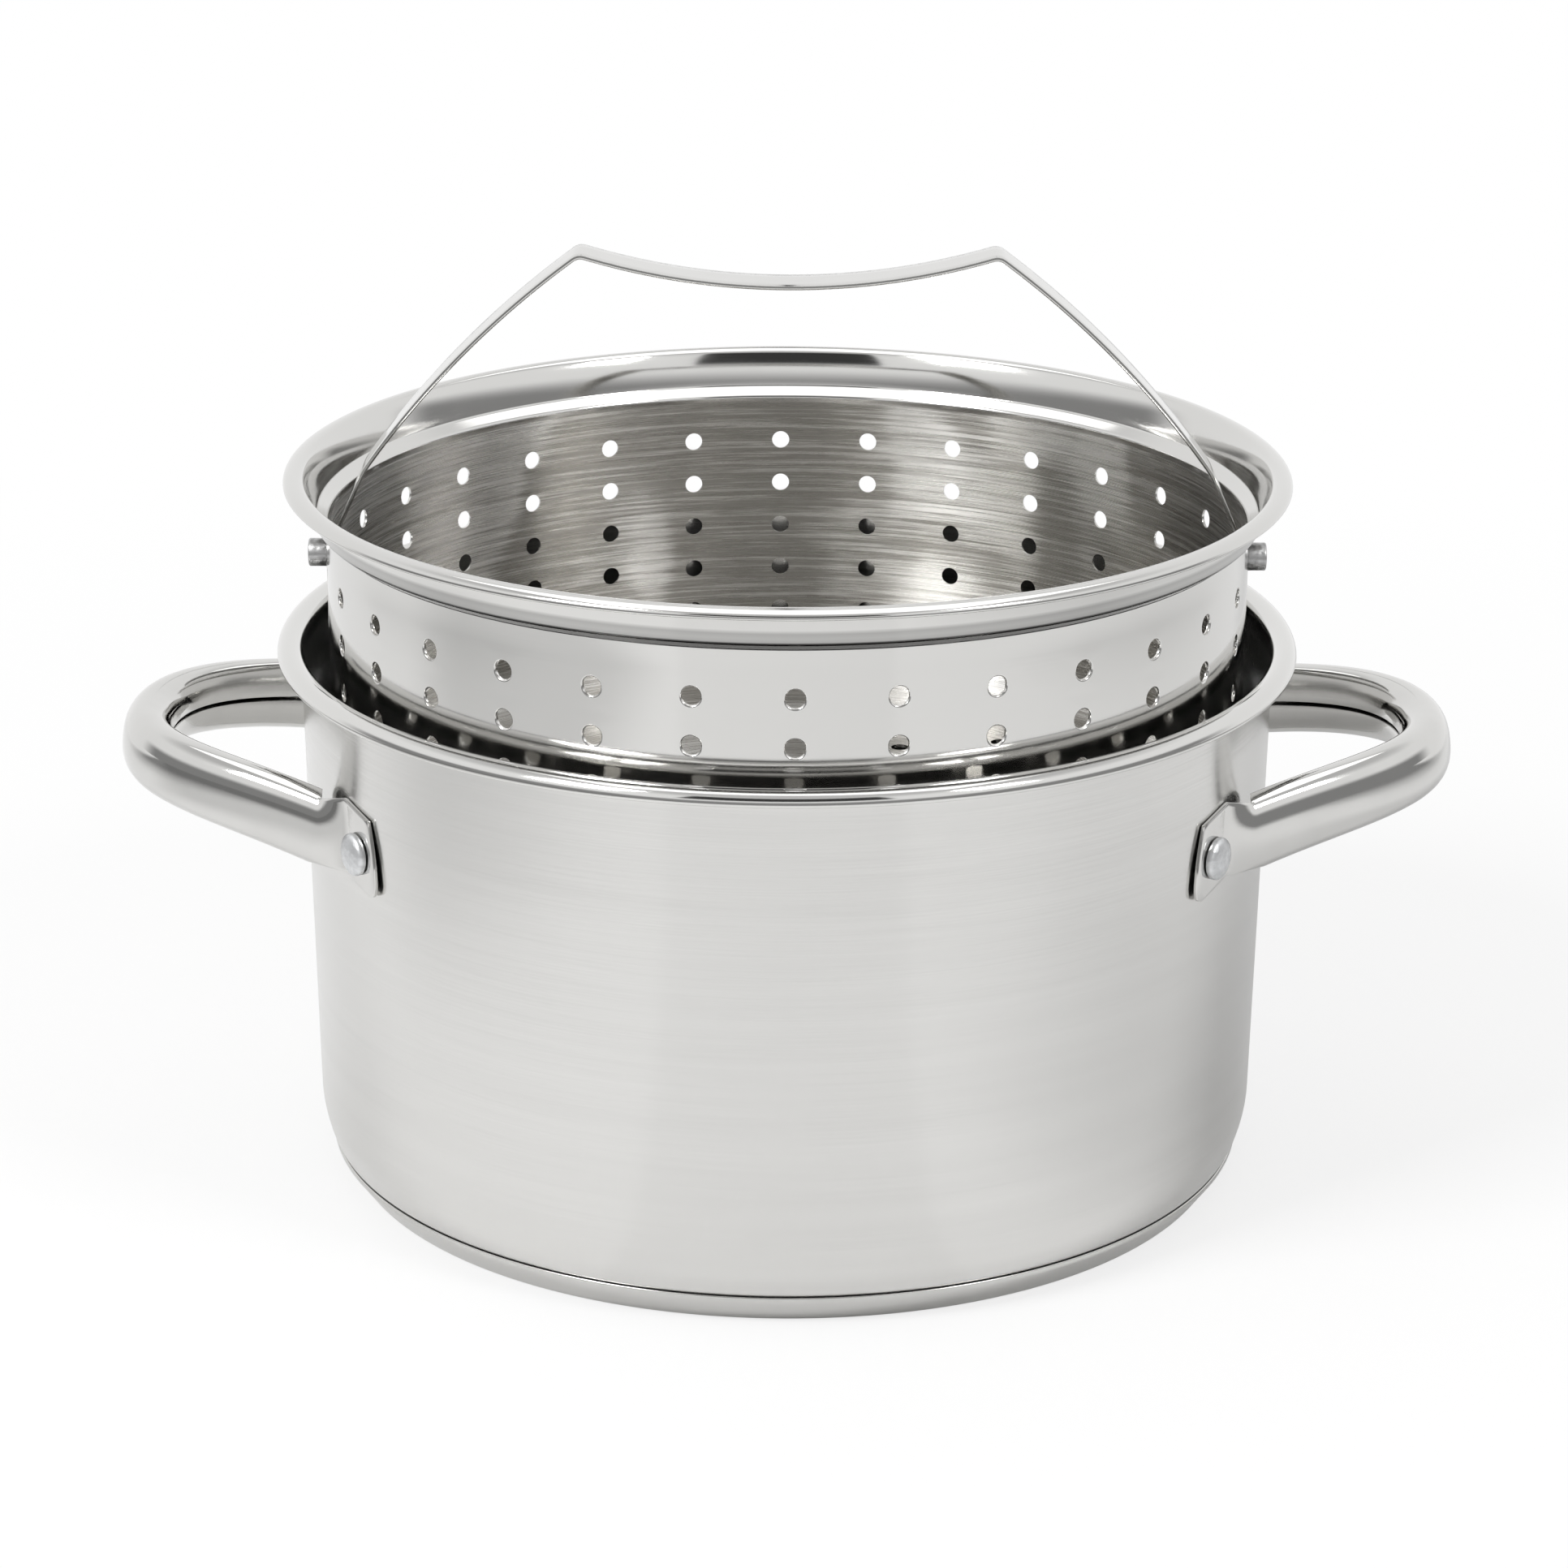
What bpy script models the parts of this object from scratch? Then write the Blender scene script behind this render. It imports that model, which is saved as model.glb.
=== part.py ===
"""Steamer pot: a drawn steel pot with a lift-out steamer basket.

The pot stands on Z = 0 with its axis on Z.  Its two loop handles point along
+X and -X.  The basket hangs in the pot by its lip.  Here it is held lifted
above its seat, with its bail leaning back a little.
"""

import math

import bmesh
import bpy
from mathutils import Matrix, Vector

# All sizes are in metres and all angles in degrees.
GAP = 0.0003  # air left between two pieces that touch

# Pot shell: one drawn sheet, slightly wider at the top
POT_SHEET = 0.0008
POT_RADIUS_TOP = 0.1212  # outside of the wall, just under the lip
POT_RADIUS_BOTTOM = 0.1189  # outside of the wall, where the corner starts
POT_HEIGHT = 0.1343  # floor of the world to the lip's free edge
POT_LIP_WIDTH = 0.0058  # wall to free edge, between the sheet's middles
POT_CORNER_RADIUS = 0.031
POT_CORNER_HEIGHT = 0.021  # centre of the corner's large arc
POT_HEEL_RADIUS = 0.003  # tight bend from the corner into the floor
POT_STEPS = 60

# Capsule base: an aluminium disc in a pressed steel cap
BASE_HEIGHT = 0.0069  # table to the underside of the pot's floor
CAP_SHEET = 0.0005
CAP_RIM_HEIGHT = 0.0009  # upright rim, above the side that leans in
CAP_TAPER = 0.0046  # how far the side leans in towards the table
CAP_EDGE_RADIUS = 0.0010
CAP_INSET = 0.0003  # cap radius short of the pot's heel
CAP_RIM_RISE = 0.0004  # cap rim above the underside of the pot's floor

# Loop handles: rolled sheet tubes that end in flat riveted plates
HANDLE_SHEET = 0.0010
HANDLE_REACH = 0.0406  # pot wall to the tube's middle at the far end
HANDLE_WIDTH = 0.0122  # tube, at the far end of the loop
HANDLE_DEPTH = 0.0165
HANDLE_LEG_WIDTH = 0.0095  # tube, where it opens into the flag
HANDLE_LEG_DEPTH = 0.0188
HANDLE_SQUARENESS = 2.5  # power of the section's superellipse
HANDLE_LEAN = 9.0  # inward lean of the section at the far end
HANDLE_SEAM_HALF_ANGLE = 1.5
HANDLE_END_PULL = 0.030  # how far the far end keeps its direction
HANDLE_LEG_PULL = 0.028  # how far the leg keeps its direction
HANDLE_LEG_ANGLE = 27.0  # leg to the X axis, seen from above
HANDLE_RISE_END = 0.0095  # middle of the far end above the rivets
HANDLE_RISE_LEG = 0.0082
HANDLE_RISE_FLAG = 0.0013
HANDLE_STEPS = 10
HANDLE_SECTION_STEPS = 10
FLAG_LENGTH = 0.0090  # open part between the tube and the plate
FLAG_SKEW = 0.6  # how fast the tube's inner side stops short of the wall
FLAG_STEPS = 2
FLAG_COLUMNS = 4
PLATE_STEPS = 3

# Mounting plate, seen flat: distance past the bend, height above the rivet
PLATE_BEND_TOP = 0.0122
PLATE_BEND_BOTTOM = -0.0068
PLATE_EDGE = (
    (0.0119, 0.0097),
    (0.0130, 0.0062),
    (0.0140, 0.0022),
    (0.0147, -0.0018),
    (0.0150, -0.0058),
    (0.0144, -0.0086),
    (0.0122, -0.0094),
)

# Handle rivets
RIVET_DROP = 0.0340  # rivets below the pot lip's free edge
RIVET_ANGLE = 32.4  # rivet to the X axis, seen from above
RIVET_TO_BEND = 0.0063
RIVET_SHANK_RADIUS = 0.0024
RIVET_HEAD_RADIUS = 0.0052
RIVET_HEAD_HEIGHT = 0.0027
RIVET_HEAD_SHOULDER = 0.0009  # straight side of the head
RIVET_TAIL_RADIUS = 0.0045
RIVET_TAIL_HEIGHT = 0.0016
RIVET_STEPS = 12

# Steamer basket: one drawn and punched sheet
BASKET_SHEET = 0.0008
BASKET_NECK_CLEARANCE = 0.0027  # pot wall to the basket's collar
BASKET_LIP_WIDTH = 0.0067
BASKET_LIP_RISE = 0.0015
BASKET_LIP_CREST = 0.0040  # crest of the lip past the neck
# Sloping collar: distance past the neck, height above the lip's free edge
BASKET_COLLAR_LINE = (
    (0.0023, 0.0007),
    (0.0009, -0.0026),
    (-0.0004, -0.0075),
)
BASKET_COLLAR_LEAN = 12.0  # at the collar's foot
BASKET_COLLAR_BEND = 0.0014  # from the collar's foot into the ledge
BASKET_LEDGE_WIDTH = 0.0035  # neck to the wall
BASKET_LEDGE_RADIUS = 0.0009
BASKET_RIVET_CLEARANCE = 0.0020  # least gap from the wall to the handle rivets
BASKET_TAPER = 0.0003
BASKET_DEPTH = 0.0900  # lip's free edge to the underside of the floor
BASKET_CORNER_RADIUS = 0.012
BASKET_LIFT = 0.0398  # shown height above the seat
BASKET_STEPS = 60
HOLE_RADIUS = 0.0026
HOLE_SIDES = 6
WALL_HOLE_COLUMNS = 30
WALL_HOLE_ROWS = 5
WALL_HOLE_TOP = 0.0220  # top row below the lip's free edge
WALL_HOLE_PITCH = 0.0119
WALL_HOLE_PHASE = 1.0  # first column past the front, towards +X
FLOOR_HOLE_RINGS = 4
FLOOR_HOLE_PITCH = 0.0200

# Bail and its two pivot rivets
BAIL_WIDTH = 0.0130
BAIL_SHEET = 0.0010
BAIL_LEAN = 0.0  # shown lean towards +Y
BAIL_CORNER_REACH = 0.0512  # corner from the basket's axis
BAIL_CORNER_HEIGHT = 0.0768  # corner above the pivots
BAIL_DIP = 0.0077  # middle below the corners
BAIL_ARM_BOW = 0.0031
BAIL_KNEE_HEIGHT = 0.0225
BAIL_KNEE_INSET = 0.0078
BAIL_CORNER_BEND = 0.004
BAIL_KNEE_BEND = 0.020
BAIL_FOOT_BEND = 0.015
BAIL_FOOT_HEIGHT = 0.0050  # straight foot above the pivot
PIVOT_DROP = 0.0212  # pivots below the lip's free edge
PIVOT_SHANK_RADIUS = 0.0024
PIVOT_STUD_RADIUS = 0.0035
PIVOT_TAIL_RADIUS = 0.0042
PIVOT_TAIL_HEIGHT = 0.0012
PIVOT_POT_CLEARANCE = 0.0010  # stud tip to the pot wall, when seated

# Colours, as linear RGB, with roughness and metallic value
FINISHES = {
    "polished_steel": ((0.66, 0.66, 0.65), 0.16, 1.0),
    "satin_steel": ((0.58, 0.58, 0.57), 0.30, 1.0),
    "cast_aluminium": ((0.62, 0.63, 0.64), 0.45, 1.0),
    "soft_aluminium": ((0.70, 0.70, 0.71), 0.38, 1.0),
}

# Sizes that follow from the ones above
POT_WALL_TOP = POT_RADIUS_TOP - POT_SHEET / 2
POT_WALL_BOTTOM = POT_RADIUS_BOTTOM - POT_SHEET / 2
POT_LIP_RADIUS = POT_LIP_WIDTH / 2
POT_RIM_TOP = POT_HEIGHT + POT_LIP_RADIUS + POT_SHEET / 2
RIVET_HEIGHT = POT_HEIGHT - RIVET_DROP
BASKET_EDGE = POT_RIM_TOP + GAP + BASKET_LIFT
BASKET_COLLAR = POT_WALL_TOP - POT_SHEET / 2 - BASKET_NECK_CLEARANCE - BASKET_SHEET / 2
PIVOT_HEIGHT = BASKET_EDGE - PIVOT_DROP


def remove_old_objects():
    """Empty the scene and the data that it leaves behind."""
    for item in list(bpy.data.objects):
        bpy.data.objects.remove(item, do_unlink=True)
    for store in (bpy.data.meshes, bpy.data.curves, bpy.data.materials, bpy.data.collections):
        for block in list(store):
            store.remove(block)


def new_collection(name):
    collection = bpy.data.collections.new(name)
    bpy.context.scene.collection.children.link(collection)
    return collection


def new_material(name, finish):
    """A plain Principled material with the colour of one of the finishes."""
    colour, roughness, metallic = FINISHES[finish]
    material = bpy.data.materials.new(name)
    material.use_nodes = True
    shader = material.node_tree.nodes["Principled BSDF"]
    shader.inputs["Base Color"].default_value = (*colour, 1.0)
    shader.inputs["Roughness"].default_value = roughness
    shader.inputs["Metallic"].default_value = metallic
    material.diffuse_color = (*colour, 1.0)
    return material


def mesh_object(name, mesh, collection, finish):
    """Link a new object with its own material and smooth shading."""
    item = bpy.data.objects.new(name, mesh)
    collection.objects.link(item)
    mesh.materials.append(new_material(name, finish))
    mesh.shade_smooth()
    mesh.set_sharp_from_angle(angle=math.radians(35.0))
    return item


def arc(centre, radii, start, end, steps):
    """Points along an upright elliptic arc, from one angle to another."""
    points = []
    for index in range(steps + 1):
        angle = math.radians(start + (end - start) * index / steps)
        across = centre[0] + radii[0] * math.cos(angle)
        points.append((across, centre[1] + radii[1] * math.sin(angle)))
    return points


def turned(name, profile, steps, collection, finish):
    """Turn a profile of (radius, height) points about the Z axis."""
    mesh = bpy.data.meshes.new(name)
    edges = [(index, index + 1) for index in range(len(profile) - 1)]
    mesh.from_pydata([(radius, 0.0, height) for radius, height in profile], edges, [])
    item = mesh_object(name, mesh, collection, finish)
    screw = item.modifiers.new("Turn", "SCREW")
    screw.axis = "Z"
    screw.steps = steps
    screw.render_steps = steps
    screw.use_merge_vertices = True
    screw.merge_threshold = 0.00001
    return item


def thicken(item, thickness):
    """Give an open sheet its thickness, half to each side."""
    solidify = item.modifiers.new("Sheet", "SOLIDIFY")
    solidify.thickness = thickness
    solidify.offset = 0.0
    solidify.use_even_offset = True
    solidify.use_rim = True


def join_flats(item):
    """Merge the flat faces of a mesh, so that a cut stays simple."""
    planar = item.modifiers.new("Flats", "DECIMATE")
    planar.decimate_type = "DISSOLVE"
    planar.angle_limit = math.radians(0.1)


def cut(item, cutter):
    """Take the cutter's shape out of an object."""
    boolean = item.modifiers.new("Cut", "BOOLEAN")
    boolean.operation = "DIFFERENCE"
    boolean.solver = "EXACT"
    boolean.object = cutter


def rods(name, places, radius, length, sides, collection):
    """One cutter with a rod along the local Z of each placement."""
    shape = bmesh.new()
    for place in places:
        bmesh.ops.create_cone(
            shape,
            cap_ends=True,
            segments=sides,
            radius1=radius,
            radius2=radius,
            depth=length,
            matrix=place,
        )
    mesh = bpy.data.meshes.new(name)
    shape.to_mesh(mesh)
    shape.free()
    item = bpy.data.objects.new(name, mesh)
    collection.objects.link(item)
    item.hide_render = True
    item.display_type = "WIRE"
    return item


def pot_profile():
    """Middle of the pot's sheet, from the lip's edge down to the axis."""
    lip = (POT_WALL_TOP + POT_LIP_RADIUS, POT_HEIGHT)
    points = arc(lip, (POT_LIP_RADIUS, POT_LIP_RADIUS), 0.0, 180.0, 5)
    # The large corner arc runs down until the tight heel arc can take over.
    floor = BASE_HEIGHT + POT_SHEET / 2
    centre = (POT_WALL_BOTTOM - POT_CORNER_RADIUS, POT_CORNER_HEIGHT)
    spare = POT_CORNER_RADIUS - POT_HEEL_RADIUS
    turn = math.asin((POT_CORNER_HEIGHT - POT_HEEL_RADIUS - floor) / spare)
    turn_degrees = math.degrees(turn)
    radii = (POT_CORNER_RADIUS, POT_CORNER_RADIUS)
    points += arc(centre, radii, 0.0, -turn_degrees, 3)
    heel = (centre[0] + spare * math.cos(turn), centre[1] - spare * math.sin(turn))
    radii = (POT_HEEL_RADIUS, POT_HEEL_RADIUS)
    points += arc(heel, radii, -turn_degrees, -90.0, 3)[1:]
    points.append((0.0, floor))
    return points


def heel_radius():
    """Outside radius of the pot where it meets the base."""
    floor = BASE_HEIGHT + POT_SHEET / 2
    spare = POT_CORNER_RADIUS - POT_HEEL_RADIUS
    drop = POT_CORNER_HEIGHT - POT_HEEL_RADIUS - floor
    reach = math.sqrt(spare * spare - drop * drop)
    return POT_WALL_BOTTOM - POT_CORNER_RADIUS + reach + POT_HEEL_RADIUS


def pot_wall_radius(height):
    """Radius of the middle of the pot's wall at a height."""
    share = (height - POT_CORNER_HEIGHT) / (POT_HEIGHT - POT_CORNER_HEIGHT)
    return POT_WALL_BOTTOM + (POT_WALL_TOP - POT_WALL_BOTTOM) * share


def base_edge(inset, bend):
    """Round lower edge of the base, inside the cap's middle by an inset."""
    side_height = BASE_HEIGHT + CAP_RIM_RISE - CAP_RIM_HEIGHT - CAP_SHEET / 2
    lean = math.atan2(CAP_TAPER, side_height)
    corner = heel_radius() - CAP_INSET - CAP_SHEET / 2 - CAP_TAPER
    back = (inset + bend) * math.tan((math.pi / 2 - lean) / 2)
    centre = (corner - back, CAP_SHEET / 2 + inset + bend)
    return arc(centre, (bend, bend), -math.degrees(lean), -90.0, 3)


def make_base(collection):
    """The aluminium disc and the steel cap pressed round it."""
    middle = heel_radius() - CAP_INSET - CAP_SHEET / 2
    rim_top = BASE_HEIGHT + CAP_RIM_RISE
    profile = [(middle, rim_top), (middle, rim_top - CAP_RIM_HEIGHT)]
    profile += base_edge(0.0, CAP_EDGE_RADIUS - CAP_SHEET / 2)
    profile.append((0.0, CAP_SHEET / 2))
    cap = turned("base_cap", profile, POT_STEPS, collection, "polished_steel")
    thicken(cap, CAP_SHEET)
    inset = CAP_SHEET / 2 + GAP
    top = BASE_HEIGHT - GAP
    profile = [(0.0, top), (middle - inset, top)]
    profile += base_edge(inset, CAP_EDGE_RADIUS - CAP_SHEET)
    profile.append((0.0, CAP_SHEET + GAP))
    turned("base_core", profile, POT_STEPS, collection, "cast_aluminium")


def rivet_frame(side, leg):
    """Placement of a handle rivet: +Z out of the wall, +X along it.

    side is 1 or -1 for the handle, leg is 1 or -1 for its leg.
    """
    angle = math.radians(RIVET_ANGLE)
    out = Vector((side * math.cos(angle), leg * math.sin(angle), 0.0))
    up = Vector((0.0, 0.0, 1.0))
    along = up.cross(out)
    place = Matrix.Identity(4)
    for column, axis in enumerate((along, up, out)):
        place.col[column].xyz = axis
    wall = pot_wall_radius(RIVET_HEIGHT)
    place.translation = out * wall + up * RIVET_HEIGHT
    return place


def plate_offset():
    """Pot wall's middle to the mounting plate's middle, along a rivet."""
    return POT_SHEET / 2 + GAP + HANDLE_SHEET / 2


def handle_layout():
    """Points in plan that place the front leg of the +X handle.

    Returns the plate's bend, the direction along the plate, the leg's
    direction towards the pot and the leg's outward side.
    """
    angle = math.radians(RIVET_ANGLE)
    normal = Vector((math.cos(angle), -math.sin(angle)))
    along = Vector((-math.sin(angle), -math.cos(angle)))
    wall = pot_wall_radius(RIVET_HEIGHT) + plate_offset()
    bend = normal * wall - along * RIVET_TO_BEND
    leg = math.radians(HANDLE_LEG_ANGLE)
    inward = Vector((-math.cos(leg), -math.sin(leg)))
    outside = Vector((math.sin(leg), -math.cos(leg)))
    return bend, along, inward, outside


def bezier(points, share):
    """A point of a cubic curve, and the curve's direction there."""
    left = 1.0 - share
    place = (
        points[0] * left**3
        + points[1] * 3 * left * left * share
        + points[2] * 3 * left * share * share
        + points[3] * share**3
    )
    slope = (
        (points[1] - points[0]) * left * left
        + (points[2] - points[1]) * 2 * left * share
        + (points[3] - points[2]) * share * share
    )
    return place, slope.normalized()


def tube_controls():
    """Control points of the tube's middle, from the far end to the flag."""
    bend, _, inward, outside = handle_layout()
    sheet_end = bend - inward * FLAG_LENGTH
    end = sheet_end - outside * (HANDLE_LEG_WIDTH - HANDLE_SHEET) / 2
    far = pot_wall_radius(RIVET_HEIGHT) + POT_SHEET / 2 + HANDLE_REACH
    plan = (
        Vector((far, 0.0)),
        Vector((far, -HANDLE_END_PULL)),
        end - inward * HANDLE_LEG_PULL,
        end,
    )
    rises = (HANDLE_RISE_END, HANDLE_RISE_END, HANDLE_RISE_LEG, HANDLE_RISE_FLAG)
    return [Vector((*spot, RIVET_HEIGHT + rise)) for spot, rise in zip(plan, rises)]


def section_point(angle, width, depth):
    """A point on the tube's superellipse: (outward, up)."""
    power = 2.0 / HANDLE_SQUARENESS
    across = math.copysign(abs(math.cos(angle)) ** power, math.cos(angle))
    upward = math.copysign(abs(math.sin(angle)) ** power, math.sin(angle))
    return across * width / 2, upward * depth / 2


def section_angles():
    """Angles round the rolled tube, from the seam's top lip to its lower."""
    start = 180.0 - HANDLE_SEAM_HALF_ANGLE
    spread = 2 * start / HANDLE_SECTION_STEPS
    return [math.radians(start - spread * index) for index in range(HANDLE_SECTION_STEPS + 1)]


def tube_row(share):
    """One ring of the tube's sheet, as world points."""
    place, forward = bezier(tube_controls(), share)
    outward = Vector((-forward.y, forward.x, 0.0)).normalized()
    upward = forward.cross(outward)
    lean = math.radians(HANDLE_LEAN) * (1.0 - share)
    outward_lean = outward * math.cos(lean) + upward * math.sin(lean)
    upward_lean = upward * math.cos(lean) - outward * math.sin(lean)
    width = HANDLE_WIDTH + (HANDLE_LEG_WIDTH - HANDLE_WIDTH) * share - HANDLE_SHEET
    depth = HANDLE_DEPTH + (HANDLE_LEG_DEPTH - HANDLE_DEPTH) * share - HANDLE_SHEET
    skew = FLAG_SKEW * share**6
    row = []
    for angle in section_angles():
        across, high = section_point(angle, width, depth)
        point = place + outward_lean * across + upward_lean * high
        row.append(point - forward * skew * (width / 2 - across))
    return row


def plate_point(distance, height):
    """World point of the front plate of the +X handle."""
    bend, along, _, _ = handle_layout()
    spot = bend + along * distance
    return Vector((*spot, RIVET_HEIGHT + height))


def edge_at(share):
    """Point of the plate's free edge, a share of the way down."""
    place = share * (len(PLATE_EDGE) - 1)
    index = min(int(place), len(PLATE_EDGE) - 2)
    rest = place - index
    first = PLATE_EDGE[index]
    second = PLATE_EDGE[index + 1]
    return tuple(first[axis] * (1.0 - rest) + second[axis] * rest for axis in (0, 1))


def flag_rows(tube_end):
    """Rows of the open flag and of the plate, past the tube's end."""
    first = (HANDLE_SECTION_STEPS - FLAG_COLUMNS) // 2
    curved = tube_end[first : first + FLAG_COLUMNS + 1]
    shares = [column / FLAG_COLUMNS for column in range(FLAG_COLUMNS + 1)]
    drop = PLATE_BEND_TOP - PLATE_BEND_BOTTOM
    bend_row = [plate_point(0.0, PLATE_BEND_TOP - drop * share) for share in shares]
    rows = []
    for step in range(1, FLAG_STEPS + 1):
        blend = step / FLAG_STEPS
        rows.append([near.lerp(far, blend) for near, far in zip(curved, bend_row)])
    edge_row = [plate_point(*edge_at(share)) for share in shares]
    for step in range(1, PLATE_STEPS + 1):
        blend = step / PLATE_STEPS
        rows.append([near.lerp(far, blend) for near, far in zip(bend_row, edge_row)])
    return rows, first


def handle_mesh():
    """The front half of the +X handle, as an open sheet."""
    shape = bmesh.new()
    rows = []
    for step in range(HANDLE_STEPS + 1):
        points = tube_row(step / HANDLE_STEPS)
        rows.append([shape.verts.new(point) for point in points])
    for row, following in zip(rows, rows[1:]):
        for column in range(HANDLE_SECTION_STEPS):
            corners = (row[column], row[column + 1], following[column + 1], following[column])
            shape.faces.new(corners)
    flag, first = flag_rows([vertex.co.copy() for vertex in rows[-1]])
    row = rows[-1][first : first + FLAG_COLUMNS + 1]
    for points in flag:
        following = [shape.verts.new(point) for point in points]
        for column in range(FLAG_COLUMNS):
            corners = (row[column], row[column + 1], following[column + 1], following[column])
            shape.faces.new(corners)
        row = following
    for vertex in rows[0]:
        vertex.co.y = 0.0
    mesh = bpy.data.meshes.new("handle_half")
    shape.to_mesh(mesh)
    shape.free()
    return mesh


def make_handles(collection, punches):
    """Both loop handles, from one half that is mirrored and thickened."""
    half = handle_mesh()
    for name, turn in (("right_handle", 0.0), ("left_handle", math.pi)):
        item = mesh_object(name, half.copy(), collection, "polished_steel")
        item.rotation_euler.z = turn
        mirror = item.modifiers.new("Other leg", "MIRROR")
        mirror.use_axis = (False, True, False)
        mirror.use_mirror_merge = True
        mirror.merge_threshold = 0.00001
        thicken(item, HANDLE_SHEET)
        cut(item, punches)
    bpy.data.meshes.remove(half)


def rivet_profile():
    """Half section of a set rivet, with the pot wall's middle at height 0."""
    head = POT_SHEET / 2 + GAP + HANDLE_SHEET + GAP
    tail = -POT_SHEET / 2 - GAP
    dome = RIVET_HEAD_HEIGHT - RIVET_HEAD_SHOULDER
    profile = arc((0.0, head + RIVET_HEAD_SHOULDER), (RIVET_HEAD_RADIUS, dome), 90.0, 0.0, 3)
    profile += [
        (RIVET_HEAD_RADIUS, head),
        (RIVET_SHANK_RADIUS, head),
        (RIVET_SHANK_RADIUS, tail),
        (RIVET_TAIL_RADIUS, tail),
    ]
    edge = (RIVET_TAIL_RADIUS - RIVET_TAIL_HEIGHT / 2, tail - RIVET_TAIL_HEIGHT / 2)
    radii = (RIVET_TAIL_HEIGHT / 2, RIVET_TAIL_HEIGHT / 2)
    profile += arc(edge, radii, 0.0, -90.0, 2)
    profile.append((0.0, tail - RIVET_TAIL_HEIGHT))
    return profile


def handle_rivet_places():
    """Names and placements of the four handle rivets."""
    places = []
    for side_name, side in (("left", -1), ("right", 1)):
        for leg_name, leg in (("front", -1), ("rear", 1)):
            places.append((f"{side_name}_{leg_name}_rivet", rivet_frame(side, leg)))
    return places


def make_handle_rivets(collection):
    for name, place in handle_rivet_places():
        rivet = turned(name, rivet_profile(), RIVET_STEPS, collection, "soft_aluminium")
        rivet.matrix_world = place


def basket_wall_top():
    """Middle of the basket's wall, just under the ledge.

    The ledge sets it, unless the tails of the handle rivets need more room.
    """
    tails = pot_wall_radius(RIVET_HEIGHT) - POT_SHEET / 2 - GAP - RIVET_TAIL_HEIGHT
    room = tails - BASKET_RIVET_CLEARANCE - BASKET_SHEET / 2
    return min(BASKET_COLLAR - BASKET_LEDGE_WIDTH, room)


def collar_foot():
    """Centre of the bend from the sloping collar into the ledge."""
    across, height = BASKET_COLLAR_LINE[-1]
    lean = math.radians(BASKET_COLLAR_LEAN)
    centre = BASKET_COLLAR + across - BASKET_COLLAR_BEND * math.cos(lean)
    return centre, height + BASKET_COLLAR_BEND * math.sin(lean)


def ledge_height():
    """Middle of the ledge's sheet above the lip's free edge."""
    return collar_foot()[1] - BASKET_COLLAR_BEND


def basket_profile():
    """Middle of the basket's sheet, from the lip's edge to the axis."""
    crest = (BASKET_COLLAR + BASKET_LIP_CREST, 0.0)
    reach = BASKET_LIP_WIDTH - BASKET_LIP_CREST
    points = arc(crest, (reach, BASKET_LIP_RISE), 0.0, 90.0, 2)
    points += [(BASKET_COLLAR + across, height) for across, height in BASKET_COLLAR_LINE[:-1]]
    bend = BASKET_COLLAR_BEND
    points += arc(collar_foot(), (bend, bend), -BASKET_COLLAR_LEAN, -90.0, 2)
    wall = basket_wall_top()
    bend = BASKET_LEDGE_RADIUS
    shoulder = (wall + bend, ledge_height() - bend)
    points += arc(shoulder, (bend, bend), 90.0, 180.0, 2)
    floor = -BASKET_DEPTH + BASKET_SHEET / 2
    corner = BASKET_CORNER_RADIUS
    low = (wall - BASKET_TAPER - corner, floor + corner)
    points += arc(low, (corner, corner), 0.0, -90.0, 2)
    points.append((0.0, floor))
    return points


def basket_wall_radius(drop):
    """Middle of the basket's wall at a distance below the lip's edge."""
    top = BASKET_LEDGE_RADIUS - ledge_height()
    bottom = BASKET_DEPTH - BASKET_CORNER_RADIUS
    return basket_wall_top() - BASKET_TAPER * (drop - top) / (bottom - top)


def hole_places():
    """Placements of the punches of the basket's wall and floor holes."""
    places = []
    level = Matrix.Rotation(math.radians(90.0), 4, "X")
    wall = basket_wall_top()
    for column in range(WALL_HOLE_COLUMNS):
        angle = WALL_HOLE_PHASE + 360.0 * column / WALL_HOLE_COLUMNS
        turn = Matrix.Rotation(math.radians(angle), 4, "Z")
        for row in range(WALL_HOLE_ROWS):
            height = -WALL_HOLE_TOP - WALL_HOLE_PITCH * row
            place = Matrix.Translation((0.0, -wall, height))
            places.append(turn @ place @ level)
    places.append(Matrix.Translation((0.0, 0.0, -BASKET_DEPTH)))
    for ring in range(1, FLOOR_HOLE_RINGS + 1):
        for index in range(6 * ring):
            turn = Matrix.Rotation(math.tau * index / (6 * ring), 4, "Z")
            place = Matrix.Translation((ring * FLOOR_HOLE_PITCH, 0.0, -BASKET_DEPTH))
            places.append(turn @ place)
    return places


def pivot_frame(side):
    """Placement of a pivot rivet in the basket: +Z out through the wall."""
    out = Vector((side, 0.0, 0.0))
    up = Vector((0.0, 0.0, 1.0))
    place = Matrix.Identity(4)
    for column, axis in enumerate((up.cross(out), up, out)):
        place.col[column].xyz = axis
    place.translation = out * basket_wall_radius(PIVOT_DROP) - up * PIVOT_DROP
    return place


def bail_foot_reach():
    """Axis to the middle of the bail's sheet at its feet.

    The foot is flat and the wall is round, so the foot's edges set it.
    """
    inside = basket_wall_radius(PIVOT_DROP) - BASKET_SHEET / 2
    inside *= math.cos(math.pi / BASKET_STEPS)
    flat = math.sqrt(inside**2 - (BAIL_WIDTH / 2) ** 2)
    return flat - GAP - BAIL_SHEET / 2


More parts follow.
